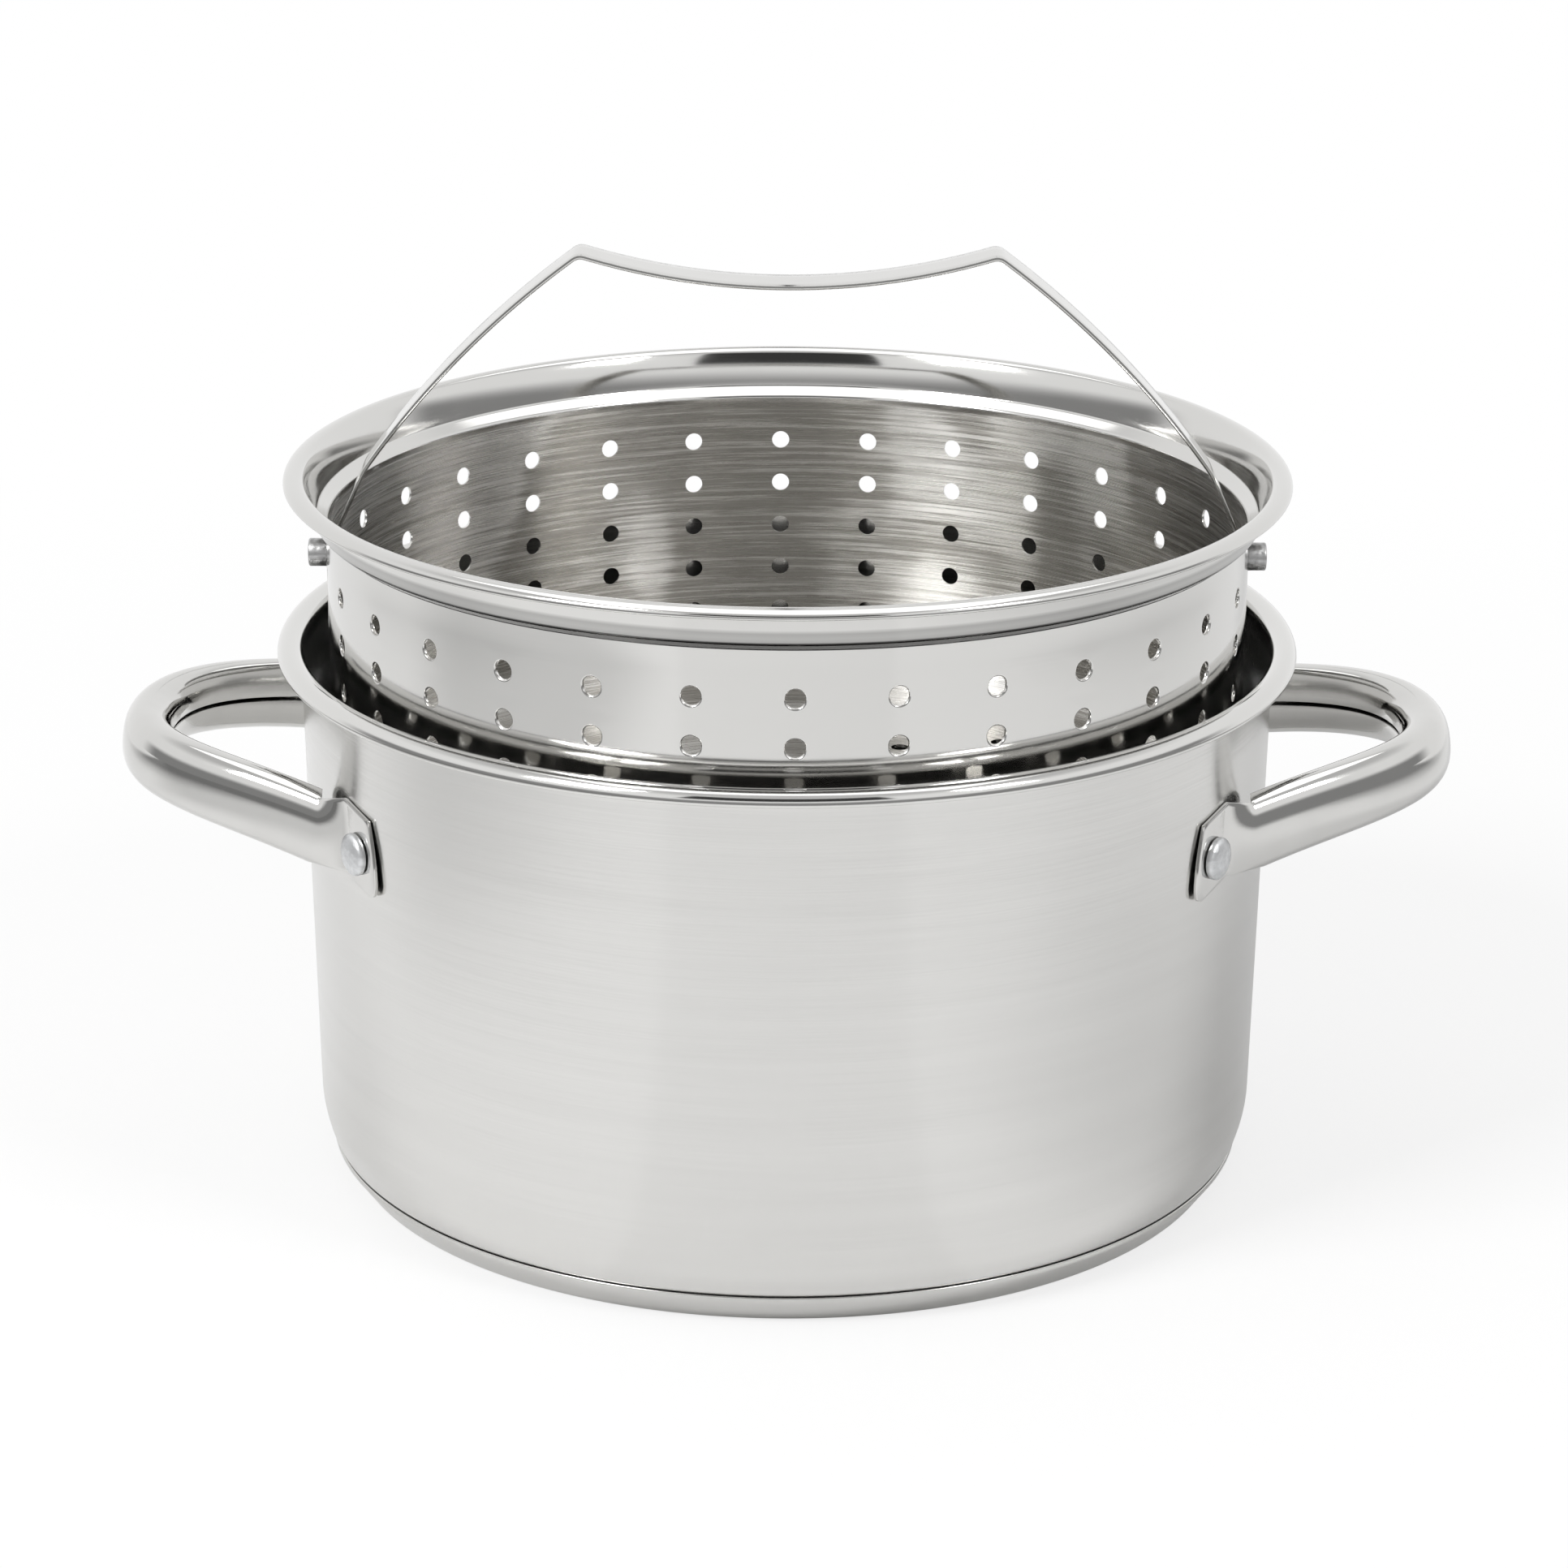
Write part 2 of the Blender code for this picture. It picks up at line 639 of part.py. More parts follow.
def pivot_profile():
    """Half section of a pivot rivet, from the stud's tip to the tail."""
    wall = basket_wall_radius(PIVOT_DROP)
    seated = PIVOT_HEIGHT - BASKET_LIFT
    pot_inside = pot_wall_radius(seated) - POT_SHEET / 2
    tip = pot_inside - PIVOT_POT_CLEARANCE - wall
    seat = BASKET_SHEET / 2 + GAP
    tail = bail_foot_reach() - BAIL_SHEET / 2 - GAP - wall
    bevel = PIVOT_STUD_RADIUS / 8
    return [
        (0.0, tip),
        (PIVOT_STUD_RADIUS - bevel, tip),
        (PIVOT_STUD_RADIUS, tip - bevel),
        (PIVOT_STUD_RADIUS, seat),
        (PIVOT_SHANK_RADIUS, seat),
        (PIVOT_SHANK_RADIUS, tail),
        (PIVOT_TAIL_RADIUS, tail),
        (PIVOT_TAIL_RADIUS, tail - PIVOT_TAIL_HEIGHT / 2),
        (PIVOT_TAIL_RADIUS - PIVOT_TAIL_HEIGHT / 2, tail - PIVOT_TAIL_HEIGHT),
        (0.0, tail - PIVOT_TAIL_HEIGHT),
    ]


def make_basket(collection, cutters, lift):
    """The punched basket and its pivot rivets, carried by one empty."""
    basket = turned("steamer_basket", basket_profile(), BASKET_STEPS, collection, "satin_steel")
    basket.parent = lift
    # Facets are turned so that each hole lies in the middle of one.
    basket.rotation_euler.z = math.radians(WALL_HOLE_PHASE + 180.0 / BASKET_STEPS)
    thicken(basket, BASKET_SHEET)
    join_flats(basket)
    depth = 2 * BASKET_CORNER_RADIUS
    punches = rods("basket_punches", hole_places(), HOLE_RADIUS, depth, HOLE_SIDES, cutters)
    punches.parent = lift
    cut(basket, punches)
    places = [pivot_frame(side) for side in (-1, 1)]
    drills = rods("pivot_drills", places, PIVOT_SHANK_RADIUS + GAP, depth, RIVET_STEPS, cutters)
    drills.parent = lift
    cut(basket, drills)
    for name, place in zip(("left_pivot_rivet", "right_pivot_rivet"), places):
        rivet = turned(name, pivot_profile(), RIVET_STEPS, collection, "cast_aluminium")
        rivet.parent = lift
        rivet.matrix_local = place
    return drills


def rounded(corners, bends):
    """Replace each inner corner of a path by an arc of its bend radius."""
    points = [corners[0]]
    for before, corner, after, bend in zip(corners, corners[1:], corners[2:], bends):
        back = (before - corner).normalized()
        ahead = (after - corner).normalized()
        half = back.angle(ahead) / 2
        reach = min(bend / math.tan(half), (before - corner).length * 0.49)
        for share in (0.0, 0.33, 0.67, 1.0):
            start = corner + back * reach
            end = corner + ahead * reach
            first = start.lerp(corner, share)
            second = corner.lerp(end, share)
            points.append(first.lerp(second, share))
    points.append(corners[-1])
    return points


def bowed(start, end, bow, steps):
    """Points between two ends along an arc that bows to its left.

    A negative bow goes to the right.
    """
    chord = end - start
    side = Vector((-chord.y, chord.x)).normalized()
    radius = (chord.length**2 / 4 + bow**2) / (2 * abs(bow))
    points = []
    for index in range(1, steps):
        share = index / steps
        along = (share - 0.5) * chord.length
        rise = math.sqrt(radius**2 - along**2) - radius + abs(bow)
        points.append(start + chord * share + side * math.copysign(rise, bow))
    return points


def bail_path():
    """Middle of the bail's sheet from its middle to the +X foot: (x, height)."""
    foot = bail_foot_reach()
    corner = Vector((BAIL_CORNER_REACH, BAIL_CORNER_HEIGHT))
    mirrored = Vector((-BAIL_CORNER_REACH, BAIL_CORNER_HEIGHT))
    knee = Vector((foot - BAIL_KNEE_INSET, BAIL_KNEE_HEIGHT))
    dip = bowed(corner, mirrored, BAIL_DIP, 8)
    dip = [point for point in dip if point.x >= -GAP]
    dip.reverse()
    dip[0].x = 0.0
    arm = bowed(corner, knee, BAIL_ARM_BOW, 6)
    top = rounded([dip[-1], corner, arm[0]], [BAIL_CORNER_BEND])
    shin = Vector((foot, BAIL_FOOT_HEIGHT))
    sole = Vector((foot, 0.0))
    low = rounded([arm[-1], knee, shin, sole], [BAIL_KNEE_BEND, BAIL_FOOT_BEND])
    return dip[:-1] + top + arm[1:-1] + low


def bail_mesh():
    """The +X half of the bail, as a flat strip with a round foot."""
    half = BAIL_WIDTH / 2
    rows = [(point, half) for point in bail_path()]
    foot = rows[-1][0]
    for degrees in (30.0, 60.0, 80.0):
        angle = math.radians(degrees)
        point = Vector((foot.x, foot.y - half * math.sin(angle)))
        rows.append((point, half * math.cos(angle)))
    shape = bmesh.new()
    previous = None
    for point, reach in rows:
        pair = [shape.verts.new((point.x, side * reach, point.y)) for side in (-1, 1)]
        if previous:
            shape.faces.new((previous[0], previous[1], pair[1], pair[0]))
        previous = pair
    mesh = bpy.data.meshes.new("bail")
    shape.to_mesh(mesh)
    shape.free()
    return mesh


def make_bail(collection, swing, drills):
    """The carrying bail, hung on the pivot rivets."""
    bail = mesh_object("bail", bail_mesh(), collection, "polished_steel")
    bail.parent = swing
    mirror = bail.modifiers.new("Other arm", "MIRROR")
    mirror.use_axis = (True, False, False)
    mirror.merge_threshold = 0.00001
    thicken(bail, BAIL_SHEET)
    cut(bail, drills)


def new_empty(name, collection, parent=None):
    item = bpy.data.objects.new(name, None)
    item.empty_display_size = 0.02
    collection.objects.link(item)
    item.parent = parent
    return item


def main():
    remove_old_objects()
    parts = new_collection("steamer_pot")
    cutters = new_collection("cutters")

    pot = turned("pot_body", pot_profile(), POT_STEPS, parts, "polished_steel")
    thicken(pot, POT_SHEET)
    places = [place for _, place in handle_rivet_places()]
    reach = 4 * plate_offset()
    drill_radius = RIVET_SHANK_RADIUS + GAP
    punches = rods("rivet_drills", places, drill_radius, reach, RIVET_STEPS, cutters)
    cut(pot, punches)
    make_base(parts)
    make_handles(parts, punches)
    make_handle_rivets(parts)

    lift = new_empty("basket_lift", parts)
    lift.location.z = BASKET_EDGE
    drills = make_basket(parts, cutters, lift)
    swing = new_empty("bail_swing", parts, lift)
    swing.location.z = -PIVOT_DROP
    swing.rotation_euler.x = math.radians(-BAIL_LEAN)
    make_bail(parts, swing, drills)


if __name__ == "__main__":
    main()
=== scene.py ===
"""Steamer pot: the finished surfaces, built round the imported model.

Laid out as a Blender add-on and run as a script.  The pot stands on Z = 0 with
its axis on Z and its handles along X.  Every finished piece is a plain mesh in
its final place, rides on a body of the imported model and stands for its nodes.
"""

import math

import bmesh
import bpy
from bpy.props import FloatProperty, FloatVectorProperty, IntProperty, PointerProperty
from mathutils import Matrix, Vector


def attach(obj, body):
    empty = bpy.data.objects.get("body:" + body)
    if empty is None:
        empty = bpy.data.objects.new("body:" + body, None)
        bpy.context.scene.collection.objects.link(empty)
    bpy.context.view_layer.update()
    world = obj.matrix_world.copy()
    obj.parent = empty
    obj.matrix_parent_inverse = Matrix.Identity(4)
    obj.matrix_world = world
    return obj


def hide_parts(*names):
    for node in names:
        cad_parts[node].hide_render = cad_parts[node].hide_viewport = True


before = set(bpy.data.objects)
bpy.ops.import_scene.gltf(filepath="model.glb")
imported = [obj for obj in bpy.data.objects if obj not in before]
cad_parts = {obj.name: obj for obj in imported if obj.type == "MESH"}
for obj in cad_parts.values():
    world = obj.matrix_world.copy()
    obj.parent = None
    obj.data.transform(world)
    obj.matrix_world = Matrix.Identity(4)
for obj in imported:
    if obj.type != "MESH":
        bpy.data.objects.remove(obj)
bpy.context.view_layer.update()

bl_info = {
    "name": "Steamer Pot",
    "version": (1, 0, 0),
    "blender": (4, 5, 0),
    "location": "3D View > Sidebar > Steamer Pot",
    "description": "Builds the finished surfaces of a steamer pot and its basket",
    "category": "Object",
}

GAP = 0.0003  # air between two pieces that touch
BREAK = 0.0001  # broken edge of a small turned piece
HUB = 0.05  # helper circle of the turning tree
MERGE = 0.00001  # points nearer than this become one
DRILL_LENGTH = 0.01
RIVET_SIDES = 32  # corners of a rivet and of the hole drilled for it
HOLE_SIDES = 20  # corners of a punched floor hole
HAMMER_GRAIN = 420.0  # how fine the unevenness of a set rivet is
PIVOT_UNEVENNESS = 0.00004
SHARP = 40.0  # degrees, past which an edge is shaded as sharp
UP = Vector((0.0, 0.0, 1.0))
FLAT = (1.0, 1.0, 0.0)  # a place times this has no height
WHITE = (1.0, 1.0, 1.0, 1.0)

# Rows of the pot's wall by their height above the handle rivets, which keep the
# drilled holes local, and rows of its floor as shares of the floor's radius
WALL_ROWS = (0.014, 0.0045, -0.0045, -0.012, -0.03, -0.055)
FLOOR_ROWS = (0.66, 0.33, 0.0)

# The bail's strip: points across it as shares of half its width, and the rows
# of its round feet, whose last one stops short of a point
STRIP_SHARES = (-1.0, -0.5, 0.0, 0.5, 1.0)
FOOT_ROWS = 11
FOOT_STEP = 7.6  # degrees from row to row

# Mounting plate of a handle: distance past the bend, height above the rivet
PLATE_EDGE = (
    (0.0119, 0.0097),
    (0.0130, 0.0062),
    (0.0140, 0.0022),
    (0.0147, -0.0018),
    (0.0150, -0.0058),
    (0.0144, -0.0086),
    (0.0122, -0.0094),
)


def length(name, default, description):
    """A length of the object, in metres."""
    return FloatProperty(
        name=name, description=description, default=default, min=0.0, unit="LENGTH", precision=5
    )


def degrees(name, default, description):
    """An angle that is stored in radians and given here in degrees."""
    return FloatProperty(
        name=name, description=description, default=math.radians(default), subtype="ANGLE"
    )


def plain(name, default, description):
    """A number with no unit."""
    return FloatProperty(name=name, description=description, default=default)


def count(name, default, description):
    """A whole number of steps or of like things."""
    return IntProperty(name=name, description=description, default=default, min=1)


def colour(name, default, description):
    """A linear colour."""
    return FloatVectorProperty(
        name=name, description=description, default=default, subtype="COLOR", min=0.0, max=1.0
    )


class PotSizes(bpy.types.PropertyGroup):
    """Sizes of the drawn pot shell."""

    sheet: length("Sheet", 0.0008, "Thickness of the drawn sheet")
    radius_top: length("Top radius", 0.1212, "Outside of the wall, under the lip")
    radius_bottom: length("Bottom radius", 0.1189, "Outside of the wall, above the corner")
    height: length("Height", 0.1343, "Table to the free edge of the lip")
    lip_width: length("Lip width", 0.00577, "Wall to the free edge of the lip")
    corner_radius: length("Corner radius", 0.031, "Large arc from wall to floor")
    corner_height: length("Corner height", 0.021, "Centre of the large arc")
    heel_radius: length("Heel radius", 0.003, "Tight bend into the floor")
    steps: count("Steps", 240, "Steps round the pot")


class BaseSizes(bpy.types.PropertyGroup):
    """Sizes of the capsule base."""

    height: length("Height", 0.0069, "Table to the underside of the pot")
    sheet: length("Cap sheet", 0.0005, "Thickness of the pressed cap")
    rim_height: length("Rim height", 0.0009, "Upright rim above the leaning side")
    taper: length("Taper", 0.0046, "How far the side leans in towards the table")
    edge_radius: length("Edge radius", 0.0010, "Outside bend of the cap")
    inset: length("Inset", 0.0003, "Cap radius short of the pot's heel")
    rim_rise: length("Rim rise", 0.0004, "Cap rim above the pot's underside")


class HandleSizes(bpy.types.PropertyGroup):
    """Sizes of the rolled loop handles."""

    sheet: length("Sheet", 0.0010, "Thickness of the rolled sheet")
    reach: length("Reach", 0.04032, "Pot wall to the middle of the tube's far end")
    width: length("Width", 0.0122, "Tube width at the far end")
    depth: length("Depth", 0.0165, "Tube height at the far end")
    leg_width: length("Leg width", 0.0095, "Tube width where it opens")
    leg_depth: length("Leg depth", 0.0188, "Tube height where it opens")
    squareness: plain("Squareness", 2.5, "Power of the section's superellipse")
    lean: degrees("Lean", 9.0, "Inward lean of the section at the far end")
    seam: degrees("Seam", 1.5, "Half of the open seam inside the loop")
    end_pull: length("End pull", 0.030, "How far the far end keeps its direction")
    leg_pull: length("Leg pull", 0.028, "How far the leg keeps its direction")
    leg_angle: degrees("Leg angle", 27.0, "Leg to the X axis")
    rise_end: length("End rise", 0.0095, "Far end above the rivets")
    rise_leg: length("Leg rise", 0.0082, "Leg above the rivets")
    rise_flag: length("Flag rise", 0.0013, "Tube's end above the rivets")
    flag_length: length("Flag length", 0.0090, "Open part between tube and plate")
    flag_skew: plain("Flag skew", 0.6, "How fast the inner side stops short")
    bend_top: length("Bend top", 0.0122, "Top of the plate's bend above the rivet")
    bend_bottom: length("Bend bottom", 0.0068, "Foot of the plate's bend below the rivet")
    steps: count("Steps", 84, "Steps along half of the tube")
    section_steps: count("Section steps", 40, "Steps round the tube")
    flag_columns: count("Flag columns", 16, "Section steps that run on into the flag")
    flag_steps: count("Flag steps", 8, "Steps along the open flag")
    plate_steps: count("Plate steps", 6, "Steps along the plate")


class RivetSizes(bpy.types.PropertyGroup):
    """Sizes of the rivets that hold the handles."""

    drop: length("Drop", 0.0340, "Rivets below the pot lip's free edge")
    angle: degrees("Angle", 32.4, "Rivet to the X axis")
    to_bend: length("To bend", 0.0063, "Rivet to the plate's bend")
    shank_radius: length("Shank radius", 0.0024, "Radius of the shank")
    head_radius: length("Head radius", 0.0052, "Radius of the domed head")
    head_height: length("Head height", 0.0027, "Height of the domed head")
    shoulder: length("Shoulder", 0.0009, "Straight side of the head")
    tail_radius: length("Tail radius", 0.0045, "Radius of the set tail")
    tail_height: length("Tail height", 0.0016, "Height of the set tail")
    hammering: length("Hammering", 0.00012, "Unevenness of the set heads")


class BasketSizes(bpy.types.PropertyGroup):
    """Sizes of the punched steamer basket."""

    sheet: length("Sheet", 0.0008, "Thickness of the drawn sheet")
    neck_clearance: length("Neck clearance", 0.0027, "Pot wall to the collar")
    lip_width: length("Lip width", 0.0067, "Neck to the lip's free edge")
    lip_rise: length("Lip rise", 0.0015, "Top of the lip above its free edge")
    lip_crest: length("Lip crest", 0.0040, "Crest of the lip past the neck")
    collar_reach: length("Collar reach", 0.0023, "Top of the collar past the neck")
    collar_top: length("Collar top", 0.0007, "Top of the collar above the lip's edge")
    collar_slope: degrees("Collar slope", 30.0, "Lean of the collar at its top")
    collar_height: length("Collar height", 0.0075, "Foot of the collar under the edge")
    collar_inset: length("Collar inset", 0.0004, "Foot of the collar inside the neck")
    collar_lean: degrees("Collar lean", 12.0, "Lean of the collar at its foot")
    collar_bend: length("Collar bend", 0.0014, "Bend from the collar into the ledge")
    ledge_drop: degrees("Ledge drop", 34.0, "Slope of the ledge towards the axis")
    ledge_width: length("Ledge width", 0.0035, "Neck to the wall")
    ledge_radius: length("Ledge radius", 0.0009, "Bend from the ledge into the wall")
    taper: length("Taper", 0.0003, "Narrowing of the wall to the corner")
    depth: length("Depth", 0.0900, "Lip's edge to the underside of the floor")
    corner_radius: length("Corner radius", 0.012, "Bend from wall to floor")
    lift: length("Lift", 0.0398, "Shown height above the seat")
    hole_radius: length("Hole radius", 0.00235, "Radius of the punched holes")
    hole_roll: length("Hole roll", 0.00025, "Width of the rolled edge of a hole")
    columns: count("Columns", 30, "Columns of wall holes")
    rows: count("Rows", 5, "Rows of wall holes")
    hole_top: length("Hole top", 0.0220, "Top row below the lip's free edge")
    pitch: length("Pitch", 0.0119, "Rows of wall holes apart")
    phase: degrees("Phase", 1.0, "First column past the front, towards +X")
    floor_rings: count("Floor rings", 4, "Rings of floor holes")
    floor_pitch: length("Floor pitch", 0.0200, "Rings of floor holes apart")
    steps: count("Steps", 180, "Steps round the basket, six to a column")


class BailSizes(bpy.types.PropertyGroup):
    """Sizes of the bail and its pivot rivets."""

    width: length("Width", 0.0130, "Width of the strip")
    sheet: length("Sheet", 0.0010, "Thickness of the strip")
    lean: degrees("Lean", 0.0, "Shown lean towards +Y")
    corner_reach: length("Corner reach", 0.0512, "Corner from the basket's axis")
    corner_height: length("Corner height", 0.07677, "Corner above the pivots")
    dip: length("Dip", 0.0077, "Middle below the corners")
    arm_bow: length("Arm bow", 0.0031, "Outward bow of the arms")
    knee_height: length("Knee height", 0.0225, "Knee above the pivots")
    knee_inset: length("Knee inset", 0.0078, "Knee in from the foot")
    corner_bend: length("Corner bend", 0.004, "Bend radius of the corners")
    knee_bend: length("Knee bend", 0.020, "Bend radius of the knees")
    foot_bend: length("Foot bend", 0.015, "Bend radius above the feet")
    foot_height: length("Foot height", 0.0050, "Straight foot above the pivot")
    pivot_drop: length("Pivot drop", 0.0212, "Pivots below the lip's edge")
    shank_radius: length("Shank radius", 0.0024, "Radius of the pivot's shank")
    stud_radius: length("Stud radius", 0.0035, "Radius of the stud outside the wall")
    tail_radius: length("Tail radius", 0.0042, "Radius of the set tail")
    tail_height: length("Tail height", 0.0012, "Height of the set tail")
    pot_clearance: length("Pot clearance", 0.0010, "Stud to the pot wall, when seated")


class Finishes(bpy.types.PropertyGroup):
    """Colours and roughness of the metals."""

    steel: colour("Steel", (0.66, 0.655, 0.64), "Polished stainless steel")
    # Painted reflection: the bright patches inside the basket, not a colour of the steel
    painted_bright: colour("Painted bright steel", (0.82, 0.81, 0.79), "Bright patches inside the basket")
    satin: colour("Satin steel", (0.70, 0.695, 0.68), "Outside of the pot")
    # Painted reflection: the dark of the dull patches inside the basket; the brushing itself is
    # real
    brushed: colour("Brushed steel, painted dull", (0.36, 0.348, 0.325), "Inside of the basket")
    rivet: colour("Rivet aluminium", (0.74, 0.75, 0.76), "Soft aluminium of the rivets")
    pivot: colour("Pivot metal", (0.56, 0.56, 0.56), "Dull metal of the pivot studs")
    core: colour("Core aluminium", (0.80, 0.80, 0.81), "Disc inside the base")
    polish: plain("Polished roughness", 0.07, "Roughness of lips and handles")
    satin_roughness: plain("Satin roughness", 0.20, "Roughness of the pot's wall")
    brushed_roughness: plain("Brushed roughness", 0.27, "Roughness inside the basket")


class StageSizes(bpy.types.PropertyGroup):
    """Camera, light and floor."""

    floor_size: length("Floor size", 8.0, "Side of the floor")
    floor_colour: colour("Floor colour", (0.93, 0.93, 0.93), "Pale floor")
    room_level: plain("Room level", 0.30, "How bright the room in front is in the metal")
    ceiling_level: plain("Ceiling level", 0.65, "How bright the ceiling is in the metal")
    left_card: plain("Left card", 0.25, "How much the left card dims the table")
    # Painted shadow of the pot on the table at its right, seen in the metal only
    right_painted_shadow: plain("Right painted shadow", 0.20, "How much the right painted shadow dims the table")
    room_light: plain("Room light", 0.38, "Soft light from all round")
    camera_back: length("Camera back", 1.1406, "Camera in front of the pot's axis")
    camera_height: length("Camera height", 0.4907, "Camera above the table")
    camera_pitch: degrees("Camera pitch", 19.09, "Camera looks down")
    camera_pan: degrees("Camera pan", 0.0290, "Camera turned about the upright")
    camera_roll: degrees("Camera roll", 0.2700, "Camera turned about its own axis")
    lens: FloatProperty(name="Lens", description="Focal length in millimetres", default=109.51)


class SteamerPotSettings(bpy.types.PropertyGroup):
    """All sizes and colours of the steamer pot."""

    pot: PointerProperty(type=PotSizes)
    base: PointerProperty(type=BaseSizes)
    handle: PointerProperty(type=HandleSizes)
    rivet: PointerProperty(type=RivetSizes)
    basket: PointerProperty(type=BasketSizes)
    bail: PointerProperty(type=BailSizes)
    finish: PointerProperty(type=Finishes)
    stage: PointerProperty(type=StageSizes)


def settings():
    return bpy.context.scene.steamer_pot


# Places that several pieces share


def pot_wall_radius(height):
    """Middle of the pot's wall at a height."""
    pot = settings().pot
    top = pot.radius_top - pot.sheet / 2
    bottom = pot.radius_bottom - pot.sheet / 2
    share = (height - pot.corner_height) / (pot.height - pot.corner_height)
    return bottom + (top - bottom) * share


def rivet_height():
    return settings().pot.height - settings().rivet.drop


def basket_edge():
    """Height of the free edge of the basket's lip, as shown."""
    pot, basket = settings().pot, settings().basket
    return pot.height + pot.lip_width / 2 + pot.sheet / 2 + GAP + basket.lift


def basket_collar_radius():
    pot, basket = settings().pot, settings().basket
    inside = pot_wall_radius(pot.height) - pot.sheet / 2
    return inside - basket.neck_clearance - basket.sheet / 2


def basket_wall_radius(drop=None):
    """Middle of the basket's wall, under the ledge or at a drop below the edge."""
    basket = settings().basket
    wall = basket_collar_radius() - basket.ledge_width
    if drop is None:
        return wall
    top = -wall_start()
    bottom = basket.depth - basket.corner_radius
    return wall - basket.taper * (drop - top) / (bottom - top)


def pivot_height():
    return basket_edge() - settings().bail.pivot_drop


def bail_foot_reach():
    """Axis to the middle of the bail's flat feet, inside the round wall."""
    basket, bail = settings().basket, settings().bail
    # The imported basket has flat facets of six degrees, which the feet clear.
    inside = (basket_wall_radius(bail.pivot_drop) - basket.sheet / 2) * math.cos(math.radians(3.0))
    return math.sqrt(inside**2 - (bail.width / 2) ** 2) - GAP - bail.sheet / 2


# Outlines of turned pieces, as (radius, height) points


def arc(centre, radii, start, end, steps):
    """Points along an upright elliptic arc, from one angle to another."""
    points = []
    for index in range(steps + 1):
        angle = math.radians(start + (end - start) * index / steps)
        across = centre[0] + radii[0] * math.cos(angle)
        points.append((across, centre[1] + radii[1] * math.sin(angle)))
    return points


def sides_of(path, thickness):
    """Both faces of a sheet whose middle follows the path."""
    spots = [Vector(point) for point in path]
    steps = [(after - before).normalized() for before, after in zip(spots, spots[1:])]
    left, right = [], []
    for index, spot in enumerate(spots):
        before = steps[max(index - 1, 0)]
        after = steps[min(index, len(steps) - 1)]
        middle = (before + after).normalized()
        side = Vector((-middle.y, middle.x)) * (thickness / 2 / middle.dot(after))
        left.append(spot + side)
        right.append(spot - side)
    return left, right


def sheet_outline(path, thickness, steps=6):
    """Outline of a sheet with a rounded first edge and an open far end.

    It runs from the far end on the right of the path, round the first edge
    and back to the far end on the left.
    """
    left, right = sides_of(path, thickness)
    centre = Vector(path[0])
    start = right[0] - centre
    ahead = (Vector(path[0]) - Vector(path[1])).normalized() * (thickness / 2)
    edge = []
    for index in range(1, steps):
        angle = math.pi * index / steps
        edge.append(centre + start * math.cos(angle) + ahead * math.sin(angle))
    return list(reversed(right)) + edge + left


def pot_path():
    """Middle of the pot's sheet, from the lip's edge down to the axis."""
    pot, base = settings().pot, settings().base
    top = pot_wall_radius(pot.height)
    bottom = pot_wall_radius(pot.corner_height)
    half = pot.lip_width / 2
    path = arc((top + half, pot.height), (half, half), 0.0, 180.0, 20)
    for rise in WALL_ROWS:
        height = rivet_height() + rise
        path.append((pot_wall_radius(height), height))
    floor = base.height + pot.sheet / 2
    spare = pot.corner_radius - pot.heel_radius
    turn = math.asin((pot.corner_height - pot.heel_radius - floor) / spare)
    centre = (bottom - pot.corner_radius, pot.corner_height)
    radii = (pot.corner_radius, pot.corner_radius)
    path += arc(centre, radii, 0.0, -math.degrees(turn), 10)
    heel = (centre[0] + spare * math.cos(turn), centre[1] - spare * math.sin(turn))
    radii = (pot.heel_radius, pot.heel_radius)
    path += arc(heel, radii, -math.degrees(turn), -90.0, 8)[1:]
    path += [(heel[0] * share, floor) for share in FLOOR_ROWS]
    return path


def cap_radius():
    """Outside of the base cap, a little inside the pot's heel."""
    pot, base = settings().pot, settings().base
    spare = pot.corner_radius - pot.heel_radius
    drop = pot.corner_height - pot.heel_radius - base.height - pot.sheet / 2
    reach = math.sqrt(spare * spare - drop * drop)
    wall = pot_wall_radius(pot.corner_height)
    return wall - pot.corner_radius + reach + pot.heel_radius - base.inset


def cap_path():
    """Middle of the base cap's sheet, from its rim to the axis."""
    base = settings().base
    middle = cap_radius() - base.sheet / 2
    bend = base.edge_radius - base.sheet / 2
    rim = base.height + base.rim_rise
    shoulder = rim - base.rim_height
    lean = math.atan2(base.taper, shoulder - base.sheet / 2)
    foot = middle - base.taper - bend * math.tan((math.pi / 2 - lean) / 2)
    path = [(middle, rim), (middle, shoulder + 2 * BREAK), (middle - BREAK, shoulder - BREAK)]
    path += arc((foot, base.sheet / 2 + bend), (bend, bend), -math.degrees(lean), -90.0, 6)
    return path + [(middle * 0.5, base.sheet / 2), (0.0, base.sheet / 2)]


def downward(lean):
    """Direction down a sheet that leans in towards the axis."""
    return Vector((-math.sin(lean), -math.cos(lean)))


def curved(start, leaving, end, arriving, steps):
    """Points after start, up to end, along a curve with given directions."""
    reach = (end - start).cross(arriving) / leaving.cross(arriving)
    corner = start + leaving * reach
    shares = [step / steps for step in range(1, steps + 1)]
    return [start.lerp(corner, share).lerp(corner.lerp(end, share), share) for share in shares]


def collar_line():
    """Ends of the sloping collar, in its section: (top, foot)."""
    basket = settings().basket
    neck = basket_collar_radius()
    top = Vector((neck + basket.collar_reach, basket.collar_top))
    return top, Vector((neck - basket.collar_inset, -basket.collar_height))


